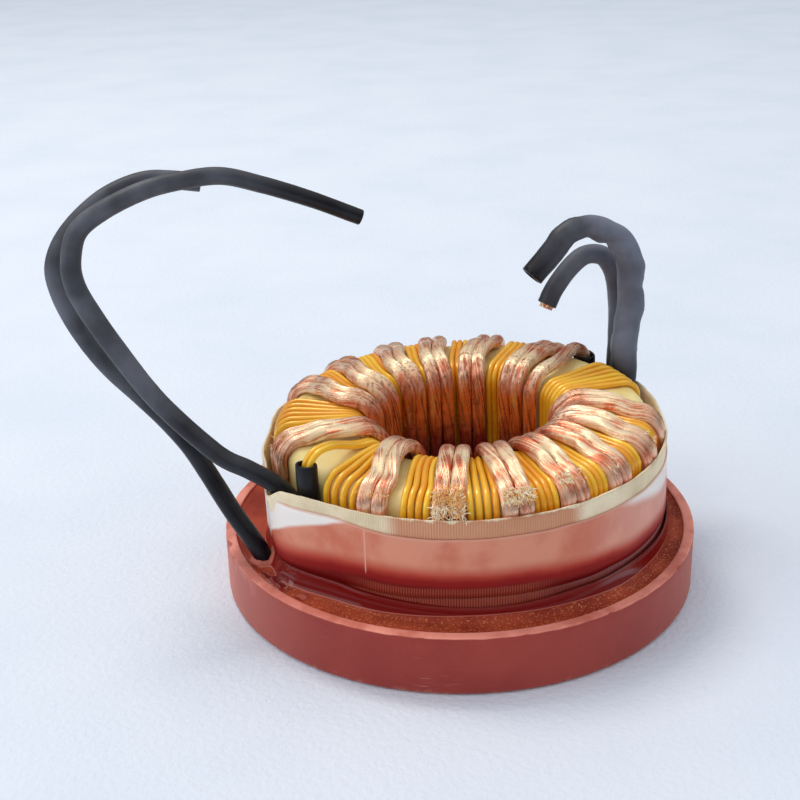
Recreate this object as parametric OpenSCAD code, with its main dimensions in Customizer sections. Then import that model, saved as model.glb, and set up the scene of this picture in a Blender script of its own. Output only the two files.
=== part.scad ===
// Potted toroidal inductor: a coated ring core carries groups of enamelled wire and pairs of litz
// bundles, is wrapped in crepe tape and a film strip, and stands in a shallow tray of cast resin.
// Four sleeved leads leave the ring, two on the left and two at the back right.
// The origin is the centre of the tray's underside, with +Z up and -Y towards the front.

/* [Tray] */
// Height of the potting tray
tray_h = 10; // [8:0.5:13]
// Thickness of the tray's wall
tray_wall = 1.75; // [1.2:0.05:2.5]
// Thickness of the tray's floor
tray_floor = 1.2; // [0.8:0.1:2]
// Rounding of the tray's lower outer edge
tray_round = 0.8; // [0.2:0.1:1.2]
// Resin between the wrapped ring and the wall, where the two are nearest
resin_ledge = 2.8; // [2.5:0.1:8]

/* [Core] */
// Outer diameter of the coated ring core
core_od = 62; // [56:0.5:70]
// Bore of the coated ring core
core_bore_d = 34.4; // [33:0.2:40]
// Height of the coated ring core
core_h = 23; // [20:0.5:27]
// Rounding of the core's edges
core_round = 2.5; // [1.5:0.1:4]

/* [Windings] */
// Diameter of the enamelled wire
wire_d = 1; // [0.7:0.05:1.05]
// Width of a litz bundle on the outside of the ring
litz_w = 2.4; // [1.8:0.1:2.5]
// Width of a litz bundle in the bore
litz_bore_w = 2.3; // [1.6:0.1:2.35]
// Thickness of a litz bundle
litz_t = 2; // [1.2:0.1:2.4]

/* [Ring position] */
// How far the ring sits to the right of the tray's centre
ring_shift = 1.4; // [0:0.1:2]
// Resin under the lowest turn
resin_bed = 0.7; // [0.3:0.1:2]
// Lean of the ring and its tape, right side up, in degrees
side_tilt = 1.45; // [0:0.05:1.6]
// Lean of the ring inside its tape, front side down, in degrees
front_tilt = 1.8; // [0:0.05:2]

/* [Tape] */
// Thickness of the crepe tape
crepe_t = 0.3; // [0.15:0.05:0.5]
// Height of the crepe tape
crepe_h = 21; // [17:0.5:23]
// Distance from the core's top face down to the tape's upper edge
crepe_drop = 2.9; // [2:0.1:5]
// Thickness of the film strip
film_t = 0.15; // [0.05:0.05:0.3]
// Width of the film strip
film_w = 9.9; // [5:0.1:11]
// Distance from the tape's upper edge down to the film
film_drop = 3; // [0.5:0.1:4]

/* [Resin] */
// Distance from the tray's rim down to the resin
resin_drop = 0.8; // [0.4:0.1:2]
// Height to which the resin climbs the tape
meniscus_h = 2.5; // [1:0.1:4]
// Width of the climbing resin at its foot
meniscus_w = 1; // [0.6:0.1:2.4]

/* [Sleeves] */
// Wall of the short sleeves on the winding ends
sleeve_wall = 0.45; // [0.3:0.05:0.6]
// Length of those sleeves
sleeve_h = 14; // [8:0.5:18]
// Rise of the enamelled ends above the other turns, into their sleeve
enamel_rise = 3.2; // [1:0.1:4]
// Rise of the litz end above the other bundles, into its sleeve
litz_rise = 0.6; // [0:0.1:2]

/* [Leads] */
// Diameter of the upper left lead
upper_lead_d = 3.4; // [2.4:0.1:3.5]
// Diameter of the upper left lead where it leaves the tape
upper_root_d = 3; // [2.4:0.1:3.4]
// Diameter of the upper left lead at its cut end
upper_tip_d = 2.6; // [2:0.1:3.4]
// Diameter of the lower left lead
lower_lead_d = 3.1; // [2:0.1:3.2]
// Diameter of the front right lead
front_lead_d = 4.8; // [3:0.1:4.9]
// Diameter of the front right lead at its cut end
front_tip_d = 4.2; // [2.4:0.1:4.8]
// Diameter of the rear right lead
rear_lead_d = 3.5; // [2.4:0.1:3.6]
// Diameter of both right leads where they leave the tape
neck_d = 2.6; // [1.8:0.1:2.8]

/* [Hidden] */
$fn = 96;

// Clearances between the turns, between the other pieces, and past a cut
wind_gap = 0.06;
fit_gap = 0.1;
overrun = 1;

// Groups of enamelled turns: angle outside, angle in the bore, turns, spacing outside as a share
enamel_groups = [
    [26, 26, 6, 1.7], [70, 71, 3, 1], [91, 93, 3, 1], [109, 113, 3, 1], [127.5, 134, 4, 1],
    [147.5, 157, 4, 1], [179, 181, 6, 1.7], [232.2, 228, 4, 1.7], [256, 252, 4, 1.1], [274.7, 274.7, 4, 1.2],
    [292.3, 293, 4, 1], [309, 311.5, 4, 1], [325.6, 330, 4, 1], [342.2, 349, 4, 1],
];
// Groups of litz bundles: angle outside, angle in the bore, bundles
litz_groups = [
    [57, 57, 2], [80, 85, 2], [101, 106, 2], [117.5, 126, 2], [137.5, 149, 2], [157.5, 172, 2],
    [200, 207, 2], [244, 237, 2], [265.5, 265.5, 2], [284, 284, 2], [300.6, 302.5, 2], [317.2, 321, 2],
    [333.9, 339.5, 2], [351, 358.5, 2],
];
// Winding ends that run into a sleeve: angle outside, angle in the bore, strands
enamel_end = [222, 216.5, 2];
litz_end = [47.5, 41, 1];

// Facets round a strand, and corner points above and below
strand_sides = 6;
top_steps = 3;
foot_steps = 2;

// Places where the tape stands out over the leads: angle, reach in degrees
left_bulge_at = 217;
left_bulge_reach = 20;
left_bulge = 1.9;
right_bulge_at = 37;
right_bulge_reach = 36;
right_bulge = 2.5;
// Place where the tape lies in on the wire, between two litz pairs
left_hollow_at = 179;
left_hollow_reach = 17;
left_hollow = 1.1;
tape_step = 3;
// Dip that a lead presses into the tape's upper edge
dip_at = 210.5;
dip_r = 2.2;
dip_drop = 1;

core_out_r = core_od / 2;
core_in_r = core_bore_d / 2;
core_half = core_h / 2;
wire_off = wind_gap + wire_d / 2;
litz_off = wind_gap + litz_t / 2;
// In the bore the litz lies over the enamelled wire, and it climbs there across the top face
litz_bore_off = wire_d + wind_gap + litz_off;
climb_share = 0.5;
climb_r = core_in_r + climb_share * (core_out_r - core_in_r);
litz_out_r = core_out_r + litz_off + litz_t / 2;
litz_bore_r = core_in_r - litz_bore_off - litz_t / 2;
ring_half = core_half + litz_bore_off + litz_t / 2;
ring_tilt = norm([side_tilt, front_tilt]);
ring_z = tray_floor + resin_bed + ring_half + climb_r * sin(ring_tilt);

// Openings of the short oval sleeves against the core: width and depth, as shares of one strand
enamel_mouth_shares = [3.1, 2.2];
litz_mouth_shares = [1.4, 1.24];
oval_step = 15;
enamel_sleeve_w = enamel_mouth_shares[0] * wire_d;
enamel_sleeve_depth = enamel_mouth_shares[1] * wire_d;
litz_sleeve_w = litz_mouth_shares[0] * litz_w;
litz_sleeve_depth = litz_mouth_shares[1] * litz_t;
enamel_sleeve_r = core_out_r + fit_gap + sleeve_wall + enamel_sleeve_depth / 2;
litz_sleeve_r = core_out_r + fit_gap + sleeve_wall + litz_sleeve_depth / 2;
enamel_lift = enamel_sleeve_r - core_out_r - wire_off;
litz_lift = litz_sleeve_r - core_out_r - litz_off;
sleeve_mouth_share = 0.6;
sleeve_top = core_half - (1 - sleeve_mouth_share) * core_round;

tape_in_r = litz_out_r + core_half * sin(front_tilt) + fit_gap;
crepe_out = crepe_t;
film_in = crepe_out + wind_gap;
film_out = film_in + film_t;
crepe_top = ring_z + core_half - crepe_drop;
film_top = crepe_top - film_drop;
bed_r = litz_out_r + max(litz_lift, enamel_lift) + fit_gap;

tray_in_r = tape_in_r + film_out + ring_shift + resin_ledge;
tray_r = tray_in_r + tray_wall;
resin_level = tray_h - resin_drop;
meniscus_step = 15;
// Slack of the hollow in the resin round the lower left lead
lead_seat_gap = 0.3;

// Routes of the leads, from where each leaves the ring or the resin to its cut end
left_upper_route = [
    [-25.8, -18.5, 21], [-27.2, -18.2, 23], [-29.5, -17.8, 24.8], [-33, -17.2, 26.6], [-38.1, -16, 28.9],
    [-46.7, -14, 36.6], [-52.5, -12.5, 44.1], [-57, -11, 50.7], [-59.3, -10, 55.3], [-59.5, -9, 59.4],
    [-58.2, -7.5, 63.2], [-53.8, -5.5, 66.1], [-48.4, -3, 68.1], [-43.2, -1, 69], [-37.2, 1, 69.2],
    [-31.2, 3, 67.3], [-23.6, 5, 64.3], [-15.7, 7, 60.6],
];
left_lower_route = [
    [-31.7, -15.7, 6.8], [-31.8, -15.7, 10], [-33.6, -15.3, 13.3], [-36.6, -14.6, 18], [-40.2, -13, 23.8],
    [-43.2, -11.5, 28.1], [-47.1, -10.2, 32.4], [-51.3, -9.2, 36.4], [-55.2, -8.4, 40], [-58.5, -7.6, 44],
    [-61.2, -6.6, 48.2], [-63.2, -5.4, 52.4], [-63.9, -4.2, 55.9], [-63, -2.6, 59.1], [-61, -0.5, 61.9],
    [-57.6, 2, 64.8], [-54.1, 4, 66.6], [-50, 6, 67.5], [-46.2, 7.5, 67.1], [-42, 8.5, 66.4],
];
right_front_route = [
    [30.5, 16.9, 20], [30.5, 16.9, 26.4], [30.2, 17.5, 28.7], [29.8, 19, 32.4], [30.3, 21, 36.4],
    [31.1, 22.5, 39.8], [31, 23, 43.6], [30.7, 23, 47.1], [29.5, 22.6, 50.5], [27.4, 22, 52.9],
    [24.5, 21.4, 54.2], [21.7, 20.8, 54.6], [19.2, 20, 53.6], [16.6, 18.6, 50.8], [13.1, 17, 47],
];
right_rear_route = [
    [28.2, 20.4, 20.4], [28.2, 20.4, 26.4], [28.5, 21.5, 28.9], [29.2, 24.5, 32.7], [29.4, 27.5, 37.9],
    [28.8, 28, 42.9], [27.4, 27.8, 46.2], [25.5, 27, 47.8], [22.7, 26, 47.8], [20, 24.8, 45.7],
    [17.6, 23.4, 42.7], [16.2, 22.4, 40],
];
lead_sides = 8;
// Rings of a route, counted from its start, between which a lead's diameter changes
upper_taper = [4, 7, 17];
neck_taper = [1, 3];
front_taper = [7, 11];

// Angle in degrees that an arc spans at a radius
function arc_angle(arc, r) = arc / r * 180 / PI;

function mix(a, b, share) = a + (b - a) * share;

// Corner of a turn, outside its circle, as points of [radius, height, facing angle, share of the way in]
function turn_corner(centre, r, from, steps, inward) = [
    for (k = [0 : steps - 1])
        let (a = from + 90 * (k + 0.5) / steps)
        let (reach = r / cos(45 / steps))
        [centre[0] + reach * cos(a), centre[1] + reach * sin(a), a, inward]
];

// Way of a turn round the core's section, at one offset outside and another in the bore
function turn_way(out, bore, lift, rise) = concat(
    turn_corner([core_out_r - core_round + lift, core_half - core_round + rise], core_round + out, 0, top_steps, 0),
    bore > out ? [[climb_r, core_half + bore, 90, 1 - climb_share]] : [],
    turn_corner([core_in_r + core_round, core_half - core_round], core_round + bore, 90, top_steps, 1),
    turn_corner([core_in_r + core_round, core_round - core_half], core_round + bore, 180, foot_steps, 1),
    bore > out ? [[climb_r, -core_half - bore, 270, 1 - climb_share]] : [],
    turn_corner([core_out_r - core_round + lift, core_round - core_half], core_round + out, 270, foot_steps, 0)
);

// One group's turns: angle outside, angle in the bore, offset along the arc outside and in the bore
function group_turns(group, pitch_out, pitch_bore) = [
    for (i = [0 : group[2] - 1])
        let (place = i - (group[2] - 1) / 2)
        [group[0], group[1], place * pitch_out, place * pitch_bore]
];

// Points of the ring round a strand where its way passes p
function strand_ring(p, turn, w_out, w_bore, t) = [
    for (k = [0 : strand_sides - 1])
        let (side = 360 * k / strand_sides)
        let (r = p[0] + t / 2 * sin(side) * cos(p[2]))
        let (z = p[1] + t / 2 * sin(side) * sin(p[2]))
        let (across = mix(turn[2], turn[3], p[3]) + mix(w_out, w_bore, p[3]) / 2 * cos(side))
        let (a = mix(turn[0], turn[1], p[3]) + arc_angle(across, p[0]))
        [r * cos(a), r * sin(a), z]
];

// Points of all rings of some turns that share a way
function turn_points(way, turns, w_out, w_bore, t) = [
    for (turn = turns)
        for (p = way)
            each strand_ring(p, turn, w_out, w_bore, t)
];

// Faces of closed loops of rings, the first of them at the point numbered first
function loop_faces(loops, rings, first) = [
    for (loop = [0 : loops - 1])
        for (ring = [0 : rings - 1])
            for (k = [0 : strand_sides - 1])
                let (base = first + loop * rings * strand_sides)
                let (here = base + ring * strand_sides)
                let (there = base + (ring + 1) % rings * strand_sides)
                let (next = (k + 1) % strand_sides)
                [here + k, here + next, there + next, there + k]
];

// Turns on the core and a winding end that rises into its sleeve, each a closed loop
module winding(turns, ends, out, bore, lift, rise, w_out, w_bore, t) {
    way = turn_way(out, bore, 0, 0);
    end_way = turn_way(out, bore, lift, rise);
    points = concat(turn_points(way, turns, w_out, w_bore, t), turn_points(end_way, ends, w_out, w_bore, t));
    faces = concat(
        loop_faces(len(turns), len(way), 0),
        loop_faces(len(ends), len(end_way), len(turns) * len(way) * strand_sides)
    );
    polyhedron(points = points, faces = faces);
}

// Places the wound ring, and its tape, in the tray
module ring_pose() {
    translate([ring_shift, 0, ring_z])
        rotate([front_tilt, -side_tilt, 0])
            children();
}

module tape_pose() {
    translate([ring_shift, 0, 0])
        rotate([0, -side_tilt, 0])
            children();
}

// How far the tape stands out at an angle over a lead's place
function bulge(a, at, reach, height) =
    let (off = abs((a - at + 540) % 360 - 180))
    off < reach ? height * pow(cos(90 * off / reach), 2) : 0;

function tape_r(a) = tape_in_r
    + bulge(a, left_bulge_at, left_bulge_reach, left_bulge)
    + bulge(a, right_bulge_at, right_bulge_reach, right_bulge)
    - bulge(a, left_hollow_at, left_hollow_reach, left_hollow);

module tape_outline(grow) {
    polygon([for (a = [0 : tape_step : 360 - tape_step]) (tape_r(a) + grow) * [cos(a), sin(a)]]);
}

module tape_band(top, height, inside, outside) {
    tape_pose()
        difference() {
            translate([0, 0, top - height])
                linear_extrude(height)
                    difference() {
                        tape_outline(outside);
                        tape_outline(inside);
                    }
            lead_dip();
        }
}

// Round-bottomed dip in the tape's upper edge, open upwards
module lead_dip() {
    rotate([0, 0, dip_at])
        translate([core_out_r, 0, crepe_top - dip_drop])
            rotate([90, 0, 90])
                linear_extrude(core_out_r - core_in_r) {
                    circle(r = dip_r);
                    translate([-dip_r, 0])
                        square([2 * dip_r, 2 * dip_r]);
                }
}

// Smooth tube along a route, with flat ends
function along(route, i) =
    let (last = len(route) - 1)
    let (way = route[min(i + 1, last)] - route[max(i - 1, 0)])
    way / norm(way);

// Sideways direction of a tube, level and square to its way
function sideways(way) = cross(way, [0, 0, 1]) / norm(cross(way, [0, 0, 1]));

function tube_points(route, girth) = [
    for (i = [0 : len(route) - 1])
        let (way = along(route, i))
        let (r = lookup(i, girth) / 2)
        let (side = norm([way[0], way[1]]) > 0 ? sideways(way) : [1, 0, 0])
        let (up = cross(side, way))
        for (k = [0 : lead_sides - 1])
            let (a = 360 * k / lead_sides)
            route[i] + r * (cos(a) * side + sin(a) * up)
];

function tube_faces(rings) = concat(
    [[for (k = [lead_sides - 1 : -1 : 0]) k]],
    [
        for (ring = [0 : rings - 2])
            for (k = [0 : lead_sides - 1])
                let (next = (k + 1) % lead_sides)
                let (here = ring * lead_sides)
                let (there = here + lead_sides)
                each [[here + k, here + next, there + next], [here + k, there + next, there + k]]
    ],
    [[for (k = [0 : lead_sides - 1]) (rings - 1) * lead_sides + k]]
);

// Lead whose girth is a list of ring numbers and diameters
module lead(route, girth) {
    polyhedron(points = tube_points(route, girth), faces = tube_faces(len(route)));
}

module oval(w, depth) {
    polygon([for (a = [0 : oval_step : 360 - oval_step]) [depth / 2 * cos(a), w / 2 * sin(a)]]);
}

// Oval sleeve round a winding end, upright against the core
module end_sleeve(at, r, rise, w, depth) {
    ring_pose()
        rotate([0, 0, at])
            translate([r, 0, sleeve_top + rise - sleeve_h])
                linear_extrude(sleeve_h)
                    difference() {
                        oval(w + 2 * sleeve_wall, depth + 2 * sleeve_wall);
                        oval(w, depth);
                    }
}

module potting_tray() {
    color([0.62, 0.27, 0.24])
        rotate_extrude()
            difference() {
                square([tray_r, tray_h]);
                translate([0, tray_floor])
                    square([tray_in_r, tray_h]);
                translate([tray_r - tray_round, 0])
                    difference() {
                        translate([0, -overrun])
                            square([tray_round + overrun, tray_round + overrun]);
                        translate([0, tray_round])
                            circle(r = tray_round);
                    }
            }
}

// Hollow that the wound ring leaves in the resin
module ring_bed() {
    translate([0, 0, -ring_half - fit_gap])
        difference() {
            cylinder(r = bed_r, h = 2 * ring_half);
            translate([0, 0, -overrun])
                cylinder(r = litz_bore_r - fit_gap, h = 2 * ring_half + 2 * overrun);
        }
}

// Hollow that the tape leaves in the resin, open towards the ring
module tape_bed() {
    translate([0, 0, crepe_top - crepe_h - fit_gap])
        linear_extrude(crepe_h)
            difference() {
                tape_outline(film_out + fit_gap);
                circle(r = core_out_r);
            }
}

// Resin that climbs the tape, with a hollow curve
module meniscus() {
    foot = tape_in_r + film_out;
    translate([ring_shift, 0, 0])
        rotate_extrude()
            polygon(concat(
                [[core_out_r, tray_floor + fit_gap], [foot + meniscus_w, tray_floor + fit_gap]],
                [
                    for (a = [0 : meniscus_step : 90])
                        [foot + meniscus_w * (1 - sin(a)), resin_level + meniscus_h * (1 - cos(a))]
                ],
                [[core_out_r, resin_level + meniscus_h]]
            ));
}

module lead_seat() {
    translate(left_lower_route[0] - [0, 0, fit_gap])
        cylinder(d = lower_lead_d + 2 * lead_seat_gap, h = tray_h);
}

module potting_resin() {
    color([0.45, 0.12, 0.08])
        difference() {
            union() {
                translate([0, 0, tray_floor + fit_gap])
                    cylinder(r = tray_in_r - fit_gap, h = resin_level - tray_floor - fit_gap);
                meniscus();
            }
            ring_pose()
                ring_bed();
            tape_pose()
                tape_bed();
            lead_seat();
        }
}

module toroid_core() {
    flat = core_out_r - core_in_r;
    color([0.93, 0.84, 0.55])
        ring_pose()
            rotate_extrude()
                translate([core_in_r, -core_half]) {
                    translate([core_round, 0])
                        square([flat - 2 * core_round, core_h]);
                    translate([0, core_round])
                        square([flat, core_h - 2 * core_round]);
                    for (x = [core_round, flat - core_round])
                        for (z = [core_round, core_h - core_round])
                            translate([x, z])
                                circle(r = core_round);
                }
}

module enamel_winding() {
    turns = [
        for (group = enamel_groups)
            each group_turns(group, group[3] * (wire_d + wind_gap), wire_d + wind_gap)
    ];
    ends = group_turns(enamel_end, wire_d + wind_gap, wire_d + wind_gap);
    color([0.85, 0.58, 0.13])
        ring_pose()
            winding(turns, ends, wire_off, wire_off, enamel_lift, enamel_rise, wire_d, wire_d, wire_d);
}

module litz_winding() {
    turns = [for (group = litz_groups) each group_turns(group, litz_w + wind_gap, litz_bore_w + wind_gap)];
    ends = group_turns(litz_end, litz_w + wind_gap, litz_bore_w + wind_gap);
    color([0.82, 0.52, 0.42])
        ring_pose()
            winding(turns, ends, litz_off, litz_bore_off, litz_lift, litz_rise, litz_w, litz_bore_w, litz_t);
}

module crepe_band() {
    color([0.86, 0.77, 0.6])
        tape_band(crepe_top, crepe_h, 0, crepe_out);
}

module film_band() {
    color([0.83, 0.5, 0.43])
        tape_band(film_top, film_w, film_in, film_out);
}

module enamel_end_sleeve() {
    color([0.1, 0.1, 0.11])
        end_sleeve(enamel_end[0], enamel_sleeve_r, enamel_rise, enamel_sleeve_w, enamel_sleeve_depth);
}

module litz_end_sleeve() {
    color([0.1, 0.1, 0.11])
        end_sleeve(litz_end[0], litz_sleeve_r, litz_rise, litz_sleeve_w, litz_sleeve_depth);
}

module lead_left_upper() {
    root = [[upper_taper[0], upper_root_d], [upper_taper[1], upper_lead_d]];
    tip = [[upper_taper[2], upper_tip_d]];
    color([0.13, 0.13, 0.14])
        lead(left_upper_route, concat(root, tip));
}

module lead_left_lower() {
    color([0.13, 0.13, 0.14])
        lead(left_lower_route, [[0, lower_lead_d]]);
}

module lead_right_front() {
    neck = [[neck_taper[0], neck_d], [neck_taper[1], front_lead_d]];
    tip = [[front_taper[0], front_lead_d], [front_taper[1], front_tip_d]];
    color([0.13, 0.13, 0.14])
        lead(right_front_route, concat(neck, tip));
}

module lead_right_rear() {
    color([0.13, 0.13, 0.14])
        lead(right_rear_route, [[neck_taper[0], neck_d], [neck_taper[1], rear_lead_d]]);
}

potting_tray();
potting_resin();
toroid_core();
enamel_winding();
litz_winding();
crepe_band();
film_band();
enamel_end_sleeve();
litz_end_sleeve();
lead_left_upper();
lead_left_lower();
lead_right_front();
lead_right_rear();
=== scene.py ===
"""Potted toroidal inductor, dressed: tray, resin, wound core, tape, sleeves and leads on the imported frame."""
import logging
import math
from dataclasses import dataclass
from enum import Enum
from random import Random
from typing import Any, Mapping, Sequence, Union

import bmesh
import bpy
from mathutils import Matrix, Vector, noise


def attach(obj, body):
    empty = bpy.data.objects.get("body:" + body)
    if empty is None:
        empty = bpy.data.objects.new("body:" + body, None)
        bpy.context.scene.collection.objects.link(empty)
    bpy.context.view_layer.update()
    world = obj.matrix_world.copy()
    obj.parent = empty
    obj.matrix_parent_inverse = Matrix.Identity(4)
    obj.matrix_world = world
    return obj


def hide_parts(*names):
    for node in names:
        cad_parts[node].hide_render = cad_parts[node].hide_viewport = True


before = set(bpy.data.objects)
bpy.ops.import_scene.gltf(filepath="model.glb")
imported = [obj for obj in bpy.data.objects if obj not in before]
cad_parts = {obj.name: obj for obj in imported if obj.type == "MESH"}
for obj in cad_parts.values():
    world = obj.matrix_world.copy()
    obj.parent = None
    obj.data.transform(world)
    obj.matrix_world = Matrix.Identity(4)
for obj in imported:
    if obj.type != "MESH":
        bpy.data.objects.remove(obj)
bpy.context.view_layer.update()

LOG = logging.getLogger("inductor")
Colour = tuple[float, float, float, float]
Ring = Sequence[Vector]
MM = 0.001
TO_METRES = Matrix.Scale(MM, 4)
GOLDEN_TURN = 2.39996

# What several pieces and finishes share, in millimetres and degrees
RING_SHIFT = 1.4
SIDE_TILT = 1.45
CREPE_RIBS = 520
RESIN_LEVEL = 9.2
LOW_LEAD_AT = (-31.8, -15.7)


class Body(Enum):
    """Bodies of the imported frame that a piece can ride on."""

    ROOT = "root"


class Slot(Enum):
    """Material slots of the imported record."""

    TRAY = "tray_moulding"
    RESIN = "cast_resin"
    CORE = "core_coat"
    WIRE = "enamelled_wire"
    LITZ = "litz_copper"
    CREPE = "crepe_paper"
    FILM = "tape_film"
    END_SLEEVE = "end_sleeve"
    LEAD = "lead_sleeve"


def tone(red: int, green: int, blue: int) -> Colour:
    """Gives the linear colour of a screen colour.

    Args:
        red: Red, from 0 to 255.
        green: Green, from 0 to 255.
        blue: Blue, from 0 to 255.

    Returns:
        The linear colour, opaque.
    """
    linear = []
    for level in (red / 255, green / 255, blue / 255):
        linear.append(level / 12.92 if level <= 0.04045 else ((level + 0.055) / 1.055) ** 2.4)
    return (linear[0], linear[1], linear[2], 1.0)


def ease(low: float, high: float, value: float) -> float:
    """Rises smoothly from 0 at low to 1 at high."""
    share = min(max((value - low) / (high - low), 0.0), 1.0)
    return share * share * (3 - 2 * share)


def turn_gap(first: float, second: float) -> float:
    """Gives the angle between two directions, from 0 to 180 degrees."""
    return abs((first - second + 540) % 360 - 180)


def polar(radius: float, degrees: float, height: float) -> Vector:
    """Gives the point at a radius, an angle and a height."""
    angle = math.radians(degrees)
    return Vector((radius * math.cos(angle), radius * math.sin(angle), height))


def stand(name: str, data: Any) -> bpy.types.Object:
    """Makes an object and puts it into the scene.

    Args:
        name: Name of the object.
        data: Its mesh, camera or lamp.

    Returns:
        The object.
    """
    made = bpy.data.objects.new(name, data)
    bpy.context.scene.collection.objects.link(made)
    return made


class Bench:
    """Makes nodes in one tree."""

    def __init__(self, tree: bpy.types.NodeTree) -> None:
        """Takes the tree that the nodes go into."""
        self.tree = tree

    def feed(self, socket: bpy.types.NodeSocket, value: Any) -> None:
        """Links a signal or a socket to an input, or sets a plain value there.

        Args:
            socket: The input.
            value: What goes into it.
        """
        source = value.socket if isinstance(value, Signal) else value
        if isinstance(source, bpy.types.NodeSocket):
            self.tree.links.new(source, socket)
        else:
            socket.default_value = source

    def node(self, kind: str, settings: Mapping[str, Any] | None = None,
             sockets: Mapping[Any, Any] | None = None) -> bpy.types.Node:
        """Makes a node, gives it its settings, and then sets or links its sockets.

        Args:
            kind: Type of the node.
            settings: Values of the node's own options.
            sockets: Values or links by socket name or number.

        Returns:
            The node.
        """
        made = self.tree.nodes.new(kind)
        for name, value in (settings or {}).items():
            setattr(made, name, value)
        for key, value in (sockets or {}).items():
            self.feed(made.inputs[key], value)
        return made


class Signal:
    """A value or colour in a shader, which Python expressions can work with."""

    def __init__(self, bench: Bench, socket: bpy.types.NodeSocket) -> None:
        """Takes the bench that makes further nodes and the socket that gives the value."""
        self.bench = bench
        self.socket = socket

    def _math(self, operation: str, first: "Number", second: "Number" = 0.0) -> "Signal":
        """Adds one Math node and gives its value."""
        made = self.bench.node("ShaderNodeMath", {"operation": operation}, {0: first, 1: second})
        return Signal(self.bench, made.outputs[0])

    def __add__(self, other: "Number") -> "Signal":
        """Adds."""
        return self._math("ADD", self, other)

    __radd__ = __add__

    def __sub__(self, other: "Number") -> "Signal":
        """Subtracts."""
        return self._math("SUBTRACT", self, other)

    def __rsub__(self, other: "Number") -> "Signal":
        """Subtracts this from a number."""
        return self._math("SUBTRACT", other, self)

    def __mul__(self, other: "Number") -> "Signal":
        """Multiplies."""
        return self._math("MULTIPLY", self, other)

    __rmul__ = __mul__

    def __truediv__(self, other: "Number") -> "Signal":
        """Divides."""
        return self._math("DIVIDE", self, other)

    def top(self, other: "Number") -> "Signal":
        """Gives the larger of two."""
        return self._math("MAXIMUM", self, other)

    def size(self) -> "Signal":
        """Gives the value without its sign."""
        return self._math("ABSOLUTE", self)

    def wave(self) -> "Signal":
        """Gives the sine of the value."""
        return self._math("SINE", self)

    def power(self, exponent: float) -> "Signal":
        """Raises the value to a power."""
        return self._math("POWER", self, exponent)

    def heading(self, other: "Signal") -> "Signal":
        """Gives the angle whose tangent is this over the other, in radians."""
        return self._math("ARCTAN2", self, other)

    def span(self, low: float, high: float) -> "Signal":
        """Rises smoothly from 0 at low to 1 at high, or falls where low is the larger.

        Args:
            low: Value that gives 0.
            high: Value that gives 1.

        Returns:
            The share, from 0 to 1.
        """
        made = self.bench.node("ShaderNodeMapRange", {"interpolation_type": "SMOOTHSTEP"},
                               {"Value": self, "From Min": low, "From Max": high})
        return Signal(self.bench, made.outputs[0])

    def span_mm(self, low: float, high: float) -> "Signal":
        """Spans a length between two lengths in millimetres."""
        return self.span(low * MM, high * MM)

    def past(self, degrees: float, low: float, high: float) -> "Signal":
        """Spans an angle, in radians past a direction in degrees."""
        return (self - math.radians(degrees)).span(low, high)

    def off(self, degrees: float, low: float, high: float) -> "Signal":
        """Spans an angle's distance, in radians to either side of a direction in degrees."""
        return (self - math.radians(degrees)).size().span(low, high)


Number = Union[Signal, float]


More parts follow.
